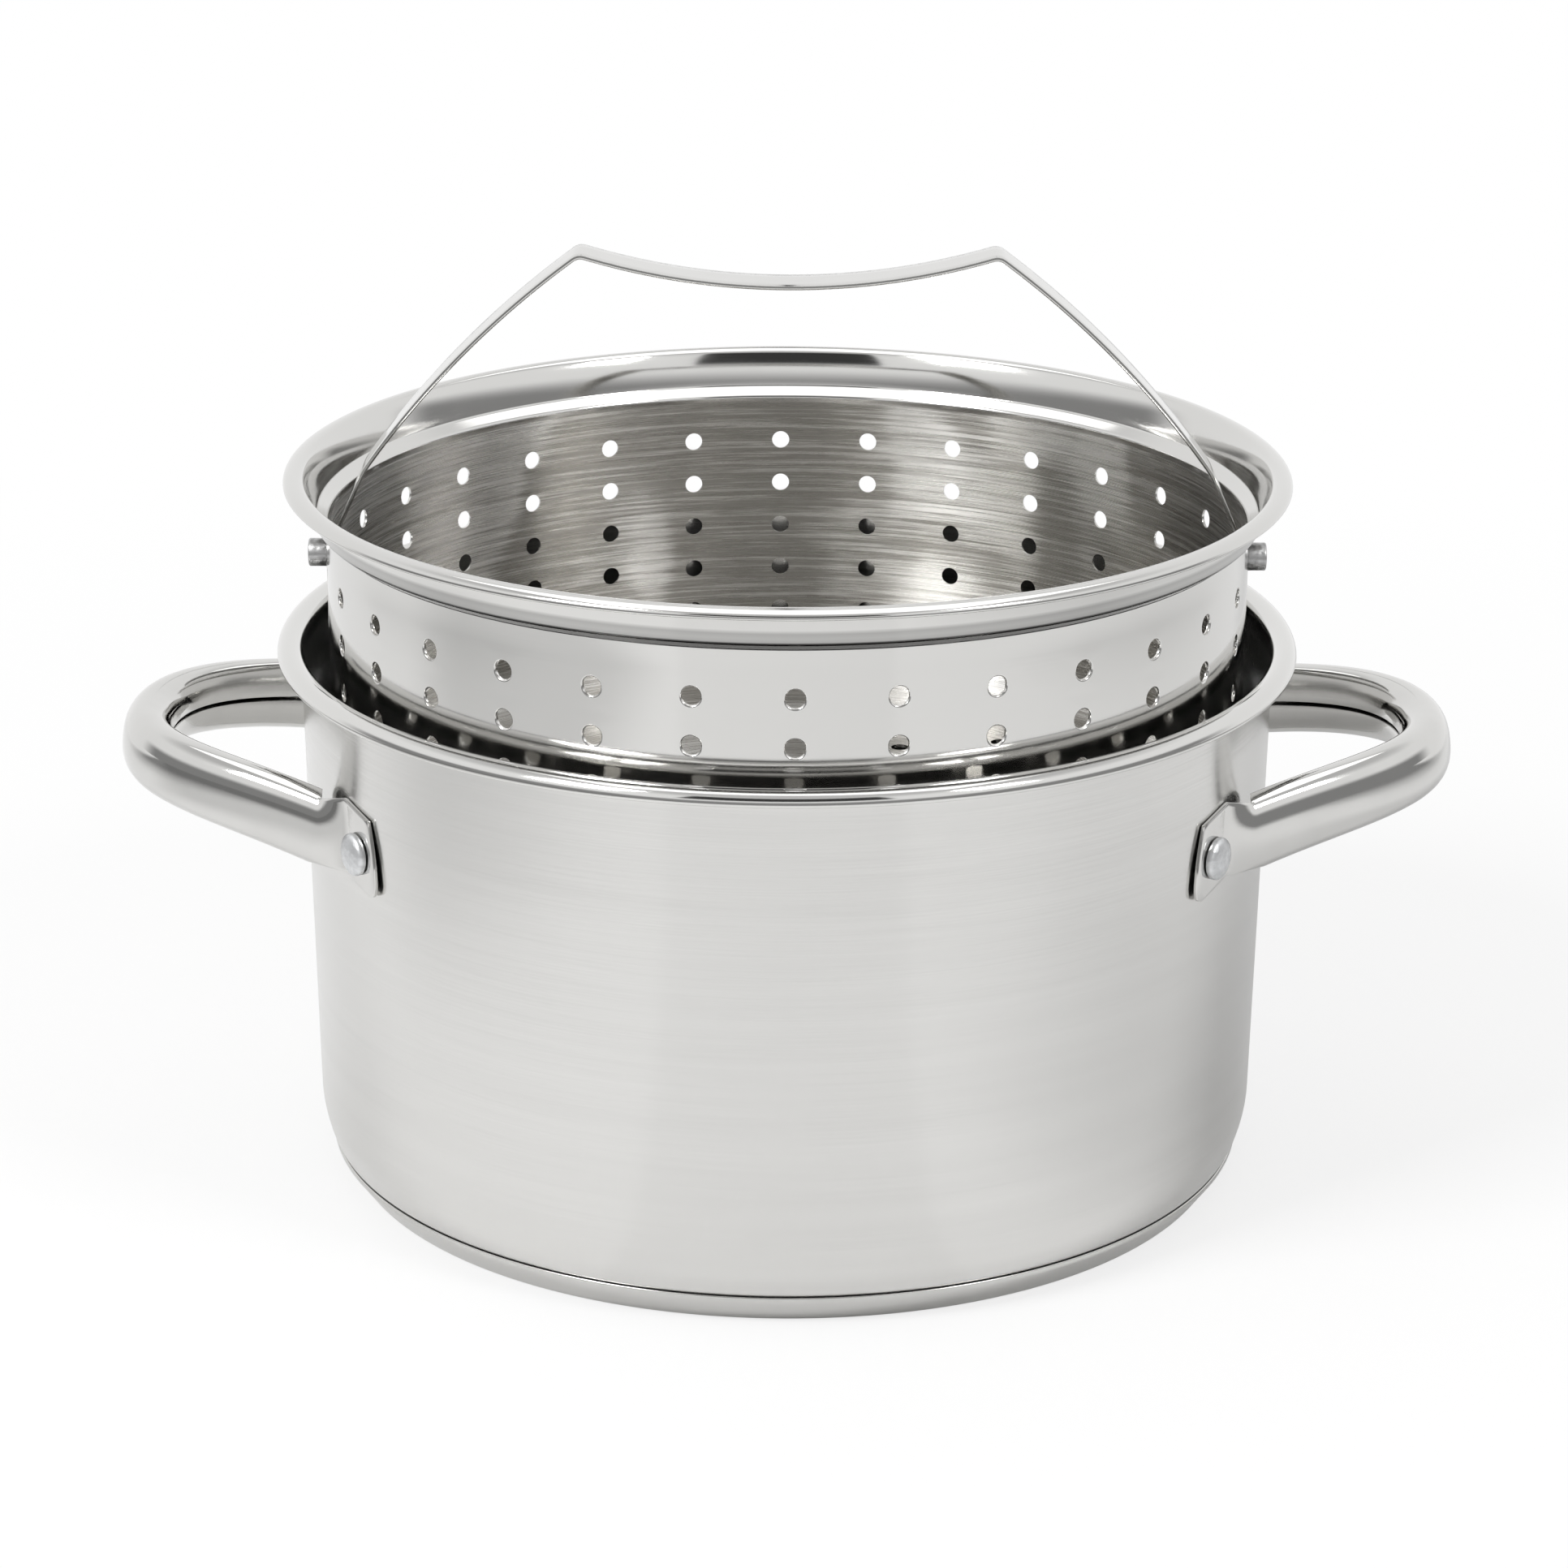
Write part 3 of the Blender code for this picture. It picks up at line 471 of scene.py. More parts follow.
def ledge_line():
    """Ends of the straight ledge, in its section: (outer, inner)."""
    basket = settings().basket
    bend, lean, drop = basket.collar_bend, basket.collar_lean, basket.ledge_drop
    centre = collar_line()[1] + Vector((-math.cos(lean), math.sin(lean))) * bend
    outer = centre + Vector((math.sin(drop), -math.cos(drop))) * bend
    across = basket_collar_radius() - basket.ledge_width
    across += basket.ledge_radius * (1.0 - math.sin(drop))
    return outer, Vector((across, outer.y - (outer.x - across) * math.tan(drop)))


def wall_start():
    """Top of the basket's upright wall, above the lip's free edge."""
    basket = settings().basket
    return ledge_line()[1].y - basket.ledge_radius * math.cos(basket.ledge_drop)


def basket_upper_path():
    """Middle of the basket's sheet, from the lip's edge to the hole rows."""
    basket = settings().basket
    wall, drop = basket_wall_radius(), math.degrees(basket.ledge_drop)
    crest = (basket_collar_radius() + basket.lip_crest, 0.0)
    path = arc(crest, (basket.lip_width - basket.lip_crest, basket.lip_rise), 0.0, 90.0, 14)
    top, foot = collar_line()
    slope, lean = downward(basket.collar_slope), downward(basket.collar_lean)
    crest = Vector((crest[0], basket.lip_rise))
    path += curved(crest, Vector((-1.0, 0.0)), top, slope, 8)
    path += curved(top, slope, foot, lean, 12)
    bend = basket.collar_bend
    turn = math.degrees(basket.collar_lean)
    outer, inner = ledge_line()
    across = foot.x - bend * math.cos(basket.collar_lean)
    centre = (across, outer.y + bend * math.cos(basket.ledge_drop))
    path += arc(centre, (bend, bend), -turn, drop - 90.0, 6)[1:]
    bend = basket.ledge_radius
    path += arc((wall + bend, wall_start()), (bend, bend), 90.0 + drop, 180.0, 6)
    return path + [(wall, -basket.hole_top + basket.pitch / 2)]


def basket_lower_path():
    """Middle of the sheet from under the hole rows to the flat floor."""
    basket = settings().basket
    wall, corner = basket_wall_radius(), basket.corner_radius
    floor = -basket.depth + basket.sheet / 2
    last_row = -basket.hole_top - basket.pitch * (basket.rows - 1)
    path = [(wall, last_row - basket.pitch / 2)]
    path += arc((wall - corner, floor + corner), (corner, corner), 0.0, -90.0, 12)
    return path


def rivet_outline():
    """Half section of a set rivet, with the pot wall's middle at height 0."""
    rivet, pot, handle = settings().rivet, settings().pot, settings().handle
    head = pot.sheet / 2 + GAP + handle.sheet + GAP
    tail = -pot.sheet / 2 - GAP
    dome = rivet.head_height - rivet.shoulder
    outline = arc((0.0, head + rivet.shoulder), (rivet.head_radius, dome), 90.0, 0.0, 10)
    outline += [
        (rivet.head_radius, head + BREAK),
        (rivet.head_radius - BREAK, head),
        (rivet.shank_radius, head),
        (rivet.shank_radius, tail),
        (rivet.tail_radius - BREAK, tail),
    ]
    half = rivet.tail_height / 2
    outline += arc((rivet.tail_radius - half, tail - half), (half, half), 0.0, -90.0, 5)
    return outline + [(0.0, tail - rivet.tail_height)]


def pivot_outline():
    """Half section of a pivot rivet, from the stud's tip to the tail."""
    pot, basket, bail = settings().pot, settings().basket, settings().bail
    wall = basket_wall_radius(bail.pivot_drop)
    seated = pivot_height() - basket.lift
    tip = pot_wall_radius(seated) - pot.sheet / 2 - bail.pot_clearance - wall
    seat = basket.sheet / 2 + GAP
    tail = bail_foot_reach() - bail.sheet / 2 - GAP - wall
    bevel = bail.stud_radius / 8
    stud, end = bail.stud_radius, bail.tail_radius
    outline = [(0.0, tip - bevel / 2), (stud * 0.6, tip)]
    outline += arc((stud - bevel, tip - bevel), (bevel, bevel), 90.0, 0.0, 3)
    outline += [(stud, seat), (bail.shank_radius, seat), (bail.shank_radius, tail), (end, tail)]
    half = bail.tail_height / 2
    outline += arc((end - half, tail - half), (half, half), 0.0, -90.0, 4)
    return outline + [(0.0, tail - bail.tail_height)]


# Meshes that the code draws


def new_object(name, data):
    """A new object in the scene, at the origin."""
    item = bpy.data.objects.new(name, data)
    bpy.context.scene.collection.objects.link(item)
    return item


def new_mesh_object(name, points, edges=(), faces=()):
    """A new object with a mesh of the given points, edges and faces."""
    mesh = bpy.data.meshes.new(name)
    mesh.from_pydata([tuple(point) for point in points], edges, faces)
    return new_object(name, mesh)


def profile_object(name, *outlines):
    """Outlines of (radius, height) points as edges for the turning tree."""
    points, edges = [], []
    for outline in outlines:
        first = len(points)
        points += [(radius - HUB, -height, 0.0) for radius, height in outline]
        edges += [(index, index + 1) for index in range(first, len(points) - 1)]
    return new_mesh_object(name, points, edges)


def discard(*items):
    """Remove helper objects and their data."""
    for item in items:
        mesh = item.data
        bpy.data.objects.remove(item)
        bpy.data.meshes.remove(mesh)


def baked(item):
    """Turn the object's evaluated geometry into its own plain mesh."""
    bpy.context.view_layer.update()
    graph = bpy.context.evaluated_depsgraph_get()
    mesh = bpy.data.meshes.new_from_object(item.evaluated_get(graph))
    old = item.data
    item.modifiers.clear()
    item.data = mesh
    mesh.name = item.name
    bpy.data.meshes.remove(old)
    return item


def smooth(item, angle=SHARP):
    """Smooth shading that breaks at edges sharper than the angle."""
    item.data.shade_smooth()
    item.data.set_sharp_from_angle(angle=math.radians(angle))


def add_thickness(item, sheet, edge):
    """Give an open sheet its thickness and fine rounded edges, still live."""
    wall = item.modifiers.new("Sheet", "SOLIDIFY")
    wall.thickness = sheet
    wall.offset = 0.0
    bevel = item.modifiers.new("Edges", "BEVEL")
    bevel.width = edge
    bevel.segments = 2
    bevel.limit_method = "ANGLE"
    bevel.angle_limit = math.radians(60.0)


def dress(item, material, body, slot, *nodes):
    """Give a finished piece its material and body, and hide the imported nodes it stands for. The
    slot is not used.
    """
    item.data.materials.clear()
    item.data.materials.append(material)
    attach(item, body)
    if nodes:
        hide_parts(*nodes)


# Node trees


class Wiring:
    """Adds nodes to a node tree and links them."""

    def __init__(self, tree):
        self.tree = tree

    def add(self, kind, inputs=None, **options):
        """A new node.  Inputs are sockets to link, or plain values."""
        node = self.tree.nodes.new(kind)
        for name, value in options.items():
            setattr(node, name, value)
        for name, value in (inputs or {}).items():
            if isinstance(value, bpy.types.NodeSocket):
                self.tree.links.new(value, node.inputs[name])
            else:
                node.inputs[name].default_value = value
        return node

    def sum(self, operation, first, second=0.0, clamp=False):
        """The output of a Math node."""
        node = self.add("ShaderNodeMath", {0: first, 1: second}, operation=operation)
        node.use_clamp = clamp
        return node.outputs[0]

    def range(self, value, low, high, new_low=0.0, new_high=1.0, smooth_step=False):
        """The output of a clamped Map Range node."""
        inputs = {0: value, 1: low, 2: high, 3: new_low, 4: new_high}
        node = self.add("ShaderNodeMapRange", inputs)
        node.interpolation_type = "SMOOTHSTEP" if smooth_step else "LINEAR"
        return node.outputs[0]

    def fade(self, value, span, low=0.0, high=1.0):
        """A soft change from low to high over a span of the value."""
        return self.range(value, *span, low, high, True)

    def times(self, first, *others):
        """The product of some numbers."""
        for other in others:
            first = self.sum("MULTIPLY", first, other)
        return first

    def vector(self, operation, first, second=None, output="Vector"):
        """An output of a Vector Math node."""
        inputs = {0: first} if second is None else {0: first, 1: second}
        return self.add("ShaderNodeVectorMath", inputs, operation=operation).outputs[output]

    def parts(self, vector):
        """The X, Y and Z of a vector."""
        return self.add("ShaderNodeSeparateXYZ", {0: vector}).outputs

    def from_parts(self, **parts):
        """A vector with the given X, Y and Z, and 0 for one that is left out."""
        return self.add("ShaderNodeCombineXYZ", parts).outputs[0]


def geometry_tree(name, sockets):
    """A Geometry Nodes tree with named inputs: (tree, wiring, inputs)."""
    tree = bpy.data.node_groups.new(name, "GeometryNodeTree")
    tree.interface.new_socket("Geometry", in_out="INPUT", socket_type="NodeSocketGeometry")
    tree.interface.new_socket("Geometry", in_out="OUTPUT", socket_type="NodeSocketGeometry")
    for label, kind in sockets:
        tree.interface.new_socket(label, in_out="INPUT", socket_type="NodeSocket" + kind)
    wiring = Wiring(tree)
    group = wiring.add("NodeGroupInput")
    return tree, wiring, group.outputs


def close_tree(wiring, geometry, material):
    """End a tree in Realize Instances and Set Material."""
    inputs = {"Geometry": made_real(wiring, geometry), "Material": material}
    done = wiring.add("GeometryNodeSetMaterial", inputs).outputs[0]
    wiring.add("NodeGroupOutput", {"Geometry": done})


def add_tree(item, tree, **values):
    """Put a tree on an object and set its named inputs."""
    modifier = item.modifiers.new(tree.name, "NODES")
    modifier.node_group = tree
    for socket in tree.interface.items_tree:
        if socket.in_out == "INPUT" and socket.name in values:
            modifier[socket.identifier] = values[socket.name]


def made_real(wiring, geometry):
    """Geometry with its instances as real meshes or curves."""
    return wiring.add("GeometryNodeRealizeInstances", {"Geometry": geometry}).outputs[0]


def on_points(wiring, points, shape, **options):
    """Instances of a shape on points."""
    inputs = {"Points": points, "Instance": shape, **options}
    return wiring.add("GeometryNodeInstanceOnPoints", inputs).outputs[0]


def ring_curve(wiring, steps, radius):
    """A flat circle round the origin."""
    inputs = {"Resolution": steps, "Radius": radius}
    return wiring.add("GeometryNodeCurvePrimitiveCircle", inputs).outputs[0]


def shifted(wiring, geometry, **changes):
    """Geometry with a Translation, a Rotation or both."""
    return wiring.add("GeometryNodeTransform", {"Geometry": geometry, **changes}).outputs[0]


def turned(wiring, profile, steps):
    """A profile turned about Z, with the poles closed."""
    curve = wiring.add("GeometryNodeMeshToCurve", {"Mesh": profile}).outputs[0]
    inputs = {"Curve": ring_curve(wiring, steps, HUB), "Profile Curve": curve}
    return merged(wiring, wiring.add("GeometryNodeCurveToMesh", inputs).outputs[0])


def merged(wiring, geometry):
    """Geometry whose doubled points are merged."""
    inputs = {"Geometry": geometry, "Distance": MERGE}
    return wiring.add("GeometryNodeMergeByDistance", inputs).outputs[0]


def joined(wiring, parts):
    """Several geometries as one."""
    node = wiring.add("GeometryNodeJoinGeometry")
    for part in parts:
        wiring.tree.links.new(part, node.inputs[0])
    return node.outputs[0]


def shape_of(wiring, item):
    """Geometry of the object in an Object input."""
    return wiring.add("GeometryNodeObjectInfo", {"Object": item}).outputs["Geometry"]


def placed_outward(wiring, points, shape):
    """Instances of a shape on points, with its Z turned away from the axis."""
    align = "FunctionNodeAlignRotationToVector"
    place = wiring.add("GeometryNodeInputPosition").outputs[0]
    flat = {"Vector": wiring.vector("MULTIPLY", place, FLAT)}
    upright = {"Rotation": wiring.add(align, flat, axis="Z").outputs[0], "Vector": tuple(UP)}
    turn = wiring.add(align, upright, axis="Y", pivot_axis="Z").outputs[0]
    return on_points(wiring, points, shape, Rotation=turn)


def turned_tree():
    """A turned piece: the object's own edges are its profile."""
    sockets = (("Steps", "Int"), ("Material", "Material"))
    tree, wiring, inputs = geometry_tree("Turned piece", sockets)
    close_tree(wiring, turned(wiring, inputs["Geometry"], inputs["Steps"]), inputs["Material"])
    return tree


def drilled_tree():
    """Round holes through a piece, square to the pot's axis, at given points."""
    sockets = (
        ("Places", "Object"),
        ("Radius", "Float"),
        ("Length", "Float"),
        ("Sides", "Int"),
        ("Material", "Material"),
    )
    tree, wiring, inputs = geometry_tree("Drilled holes", sockets)
    size = {"Vertices": inputs["Sides"], "Radius": inputs["Radius"], "Depth": inputs["Length"]}
    drill = wiring.add("GeometryNodeMeshCylinder", size).outputs[0]
    drills = placed_outward(wiring, shape_of(wiring, inputs["Places"]), drill)
    cut = wiring.add("GeometryNodeMeshBoolean", operation="DIFFERENCE", solver="EXACT")
    wiring.tree.links.new(inputs["Geometry"], cut.inputs["Mesh 1"])
    wiring.tree.links.new(made_real(wiring, drills), cut.inputs["Mesh 2"])
    close_tree(wiring, cut.outputs[0], inputs["Material"])
    return tree


def rivets_tree():
    """Like rivets on the object's own points, each a little uneven."""
    sockets = (
        ("Profile", "Object"),
        ("Steps", "Int"),
        ("Unevenness", "Float"),
        ("Grain", "Float"),
        ("Material", "Material"),
    )
    tree, wiring, inputs = geometry_tree("Set rivets", sockets)
    rivet = turned(wiring, shape_of(wiring, inputs["Profile"]), inputs["Steps"])
    rivets = made_real(wiring, placed_outward(wiring, inputs["Geometry"], rivet))
    noise = wiring.add("ShaderNodeTexNoise", {"Scale": inputs["Grain"], "Detail": 1.0})
    push = wiring.sum("SUBTRACT", noise.outputs[0], 0.5)
    push = wiring.sum("MULTIPLY", push, inputs["Unevenness"])
    normal = wiring.add("GeometryNodeInputNormal").outputs[0]
    offset = wiring.add("ShaderNodeVectorMath", {0: normal, "Scale": push}, operation="SCALE")
    uneven = {"Geometry": rivets, "Offset": offset.outputs[0]}
    uneven = wiring.add("GeometryNodeSetPosition", uneven).outputs[0]
    close_tree(wiring, uneven, inputs["Material"])
    return tree


def basket_tree(floor_rings):
    """The punched basket: turned lip, corner and wall tiles round a flat floor.

    The object's own edges are the profiles of the plain parts.  The tile is
    one wall hole with the sheet round it, and the lining one floor hole.
    """
    sockets = (
        ("Steps", "Int"),
        ("Tile", "Object"),
        ("Columns", "Int"),
        ("Rows", "Int"),
        ("Pitch", "Float"),
        ("Lining", "Object"),
        ("Floor pitch", "Float"),
        ("Floor radius", "Float"),
        ("Floor height", "Float"),
        ("Sheet", "Float"),
        ("Hole radius", "Float"),
        ("Hole sides", "Int"),
        ("Taper", "Float"),
        ("Taper top", "Float"),
        ("Taper bottom", "Float"),
        ("Phase", "Float"),
        ("Edge height", "Float"),
        ("Material", "Material"),
    )
    tree, wiring, inputs = geometry_tree("Punched basket", sockets)
    plain_parts = turned(wiring, inputs["Geometry"], inputs["Steps"])

    # A stack of tiles, one for each row, repeated round the axis
    down = wiring.from_parts(Z=wiring.times(inputs["Pitch"], -1.0))
    rows = wiring.add("GeometryNodeMeshLine", {"Count": inputs["Rows"], "Offset": down}).outputs[0]
    stack = on_points(wiring, rows, shape_of(wiring, inputs["Tile"]))
    turn = wiring.sum("DIVIDE", math.tau, inputs["Columns"])
    turn = wiring.times(wiring.add("GeometryNodeInputIndex").outputs[0], turn)
    still = {"Count": inputs["Columns"], "Offset": (0.0, 0.0, 0.0)}
    spots = wiring.add("GeometryNodeMeshLine", still).outputs[0]
    wall = on_points(wiring, spots, stack, Rotation=wiring.from_parts(Z=turn))

    # Hole places of the floor: the middle and rings of six, twelve and so on
    places = [wiring.add("GeometryNodePoints", {"Count": 1}).outputs[0]]
    for ring in range(1, floor_rings + 1):
        radius = wiring.times(inputs["Floor pitch"], float(ring))
        circle = {"Curve": ring_curve(wiring, 6 * ring, radius)}
        points = wiring.add("GeometryNodeCurveToPoints", circle, mode="EVALUATED")
        places.append(points.outputs["Points"])
    # The whole basket is turned by its phase at the end, but not these holes
    back = wiring.from_parts(Z=wiring.times(inputs["Phase"], -1.0))
    places = shifted(wiring, joined(wiring, places), Rotation=back)
    hole = ring_curve(wiring, inputs["Hole sides"], inputs["Hole radius"])
    edge = ring_curve(wiring, inputs["Steps"], inputs["Floor radius"])
    outline = made_real(wiring, joined(wiring, [edge, on_points(wiring, places, hole)]))
    flat = wiring.add("GeometryNodeFillCurve", {"Curve": outline}, mode="TRIANGLES").outputs[0]
    half = wiring.sum("DIVIDE", inputs["Sheet"], 2.0)
    top = shifted(wiring, flat, Translation=wiring.from_parts(Z=half))
    sink = wiring.from_parts(Z=wiring.times(half, -1.0))
    under = {"Mesh": shifted(wiring, flat, Translation=sink)}
    under = wiring.add("GeometryNodeFlipFaces", under).outputs[0]
    linings = on_points(wiring, places, shape_of(wiring, inputs["Lining"]))
    level = wiring.from_parts(Z=inputs["Floor height"])
    floor = shifted(wiring, joined(wiring, [top, under, linings]), Translation=level)
    whole = merged(wiring, made_real(wiring, joined(wiring, [plain_parts, wall, floor])))

    # The wall narrows downwards, with the corner and the floor
    parts = wiring.parts(wiring.add("GeometryNodeInputPosition").outputs[0])
    share = wiring.range(parts["Z"], inputs["Taper top"], inputs["Taper bottom"])
    scale = wiring.sum("SUBTRACT", 1.0, wiring.times(share, inputs["Taper"]))
    flat = {axis: wiring.times(parts[axis], scale) for axis in "XY"}
    narrow = {"Geometry": whole, "Position": wiring.from_parts(Z=parts["Z"], **flat)}
    whole = wiring.add("GeometryNodeSetPosition", narrow).outputs[0]
    turn = wiring.from_parts(Z=inputs["Phase"])
    lift = wiring.from_parts(Z=inputs["Edge height"])
    whole = shifted(wiring, whole, Translation=lift, Rotation=turn)
    close_tree(wiring, whole, inputs["Material"])
    return tree


# Materials


# How fine each finish's lines are: round the pot's axis, and across the lines
SATIN_LINES = (25.0, 2600.0)
SATIN_BANDS = (6.0, 240.0)
CAP_LINES = (18.0, 3200.0)
BASKET_LINES = (14.0, 2400.0)
BASKET_STREAKS = (22.0, 1300.0)
# The patches are painted reflections inside the basket, not a finish
BASKET_PATCHES = (24.0, 16.0)
CORE_LINES = (12.0, 1500.0)

# How fine straight polishing scratches are along X, Y and Z
HANDLE_SCRATCHES = (420.0, 420.0, 1800.0)
BAIL_SCRATCHES = (1400.0, 260.0, 1400.0)

NOISE_SPAN = (0.3, 0.7)  # most of a noise's values lie in it
LIP_POLISH = (0.0035, 0.0008)  # below the lip's edge: its polish starts, and is full
MIX_FIRST, MIX_SECOND, MIX_RESULT = 6, 7, 2  # sockets of a Mix node that mixes colours


def new_material(name):
    """A material with no nodes yet, and its wiring."""
    material = bpy.data.materials.new(name)
    material.use_nodes = True
    material.node_tree.nodes.clear()
    return material, Wiring(material.node_tree)


class Metal:
    """A metal material with the coordinates its patterns use."""

    def __init__(self, name, tint, roughness):
        self.material, self.wiring = new_material(name)
        values = {"Base Color": (*tint, 1.0), "Metallic": 1.0, "Roughness": roughness}
        self.shader = self.wiring.add("ShaderNodeBsdfPrincipled", values)
        self.wiring.add("ShaderNodeOutputMaterial", {"Surface": self.shader.outputs[0]})
        self.place = self.wiring.add("ShaderNodeTexCoord").outputs["Object"]

    def link(self, output, name):
        """Link a node's output to an input of the shader."""
        self.wiring.tree.links.new(output, self.shader.inputs[name])

    def flat(self):
        """Object coordinates with no height."""
        return self.wiring.vector("MULTIPLY", self.place, FLAT)

    def height(self):
        """Height above the table."""
        return self.wiring.parts(self.place)["Z"]

    def noise(self, vector, scale, detail=2.0, roughness=0.5):
        """The output of a Noise Texture node."""
        inputs = {"Vector": vector, "Scale": scale, "Detail": detail, "Roughness": roughness}
        return self.wiring.add("ShaderNodeTexNoise", inputs).outputs[0]

    def scratches(self, fineness, detail, roughness):
        """Noise drawn out along the axes."""
        place = self.wiring.vector("MULTIPLY", self.place, fineness)
        return self.noise(place, 1.0, detail, roughness)

    def round_lines(self, fineness, detail=2.0, roughness=0.5):
        """Noise drawn out in circles round the upright axis."""
        around, across = fineness
        parts = self.wiring.parts(self.place)
        radius = self.wiring.vector("LENGTH", self.flat(), output="Value")
        place = self.wiring.from_parts(
            X=self.wiring.times(parts["X"], around),
            Y=self.wiring.times(parts["Y"], around),
            Z=self.wiring.times(self.wiring.sum("ADD", parts["Z"], radius), across),
        )
        return self.noise(place, 1.0, detail, roughness)

    def roughened(self, pattern, roughness, low, high):
        """Roughness that follows a pattern, between two shares of a value."""
        return self.wiring.range(pattern, *NOISE_SPAN, roughness * low, roughness * high)

    def smudged(self, roughness, smudge, span, amount):
        """Roughness with up to an amount more on the smudges."""
        return self.wiring.sum("ADD", roughness, self.wiring.range(smudge, *span, 0.0, amount))

    def blend(self, factor, first, second):
        """One of two values, by a factor."""
        mix = self.wiring.add("ShaderNodeMix", {0: factor, 2: first, 3: second})
        return mix.outputs[0]

    def mixed(self, factor, first, second):
        """A mix of two colours, each a tint or another node's output."""
        inputs = {0: factor}
        for index, tint in ((MIX_FIRST, first), (MIX_SECOND, second)):
            linked = isinstance(tint, bpy.types.NodeSocket)
            inputs[index] = tint if linked else (*tint, 1.0)
        return self.wiring.add("ShaderNodeMix", inputs, data_type="RGBA").outputs[MIX_RESULT]

    def shade(self, factor, first, second):
        """Link a mix of two colours to the shader."""
        self.link(self.mixed(factor, first, second), "Base Color")

    def bump(self, height, strength, distance):
        """Let a pattern raise the surface in the shading."""
        inputs = {"Strength": strength, "Distance": distance, "Height": height}
        self.link(self.wiring.add("ShaderNodeBump", inputs).outputs[0], "Normal")

    def brushed_round(self, anisotropy):
        """Stretch the highlights across brush lines that run round the axis."""
        self.link(self.wiring.vector("CROSS_PRODUCT", tuple(UP), self.place), "Tangent")
        self.shader.inputs["Anisotropic"].default_value = anisotropy
        self.shader.inputs["Anisotropic Rotation"].default_value = 0.25


def darker(tint, share):
    """A tint with only a share of its brightness."""
    return tuple(part * share for part in tint)


def satin_steel():
    """The pot: polished round its axis, with finer polish on the lip."""
    finish, edge = settings().finish, settings().pot.height
    metal = Metal("Satin steel", finish.satin, finish.satin_roughness)
    lines = metal.round_lines(SATIN_LINES, 3.0, 0.65)
    broad = metal.round_lines(SATIN_BANDS)
    smudge = metal.noise(metal.place, 28.0, 3.0)
    lip = metal.wiring.range(metal.height(), edge - LIP_POLISH[0], edge - LIP_POLISH[1])
    wall = metal.roughened(lines, finish.satin_roughness, 0.85, 1.2)
    wall = metal.smudged(wall, smudge, (0.4, 0.75), 0.025)
    metal.link(metal.blend(lip, wall, finish.polish * 1.3), "Roughness")
    broad = metal.wiring.range(broad, *NOISE_SPAN)
    metal.shade(broad, darker(finish.satin, 0.97), finish.satin)
    metal.bump(lines, 0.04, 0.00002)
    metal.brushed_round(0.75)
    return metal.material


def polished_steel(name, scratches):
    """Mirror-bright steel with faint polishing lines and smudges."""
    finish = settings().finish
    metal = Metal(name, finish.steel, finish.polish)
    lines = metal.scratches(scratches, 3.0, 0.6)
    smudge = metal.noise(metal.place, 60.0, 3.0, 0.6)
    rough = metal.roughened(lines, finish.polish, 0.7, 1.25)
    metal.link(metal.smudged(rough, smudge, (0.5, 0.8), 0.05), "Roughness")
    metal.shade(metal.wiring.range(smudge, 0.35, 0.75), finish.steel, darker(finish.steel, 0.95))
    metal.bump(lines, 0.03, 0.00002)
    return metal.material


def base_steel():
    """The pressed cap, turned on a lathe underneath."""
    finish = settings().finish
    metal = Metal("Base steel", finish.steel, finish.satin_roughness)
    lines = metal.round_lines(CAP_LINES, 3.0, 0.65)
    metal.link(metal.roughened(lines, finish.satin_roughness, 0.8, 1.35), "Roughness")
    metal.shade(metal.wiring.range(lines, 0.25, 0.75), darker(finish.steel, 0.9), finish.steel)
    metal.bump(lines, 0.06, 0.00003)
    metal.brushed_round(0.6)
    return metal.material


def inside_of_basket(metal, normal, top):
    """1 on faces under a height that look inwards or up, and 0 elsewhere."""
    wiring = metal.wiring
    outward = wiring.vector("NORMALIZE", metal.flat())
    facing = wiring.vector("DOT_PRODUCT", normal, outward, output="Value")
    inward = wiring.range(facing, -0.2, -0.5)
    upward = wiring.range(wiring.parts(normal)["Z"], 0.3, 0.7)
    under = wiring.range(metal.height(), top - 0.0002, top - 0.0012)
    return wiring.times(wiring.sum("MAXIMUM", inward, upward), under)


def step_under_collar(metal, normal, top):
    """1 on the faces of the step under the collar that look down."""
    wiring, height = metal.wiring, metal.height()
    down = wiring.range(wiring.parts(normal)["Z"], -0.12, -0.4)
    above = wiring.range(height, top - 0.001, top)
    below = wiring.range(height, top + 0.006, top + 0.005)
    return wiring.times(down, above, below)


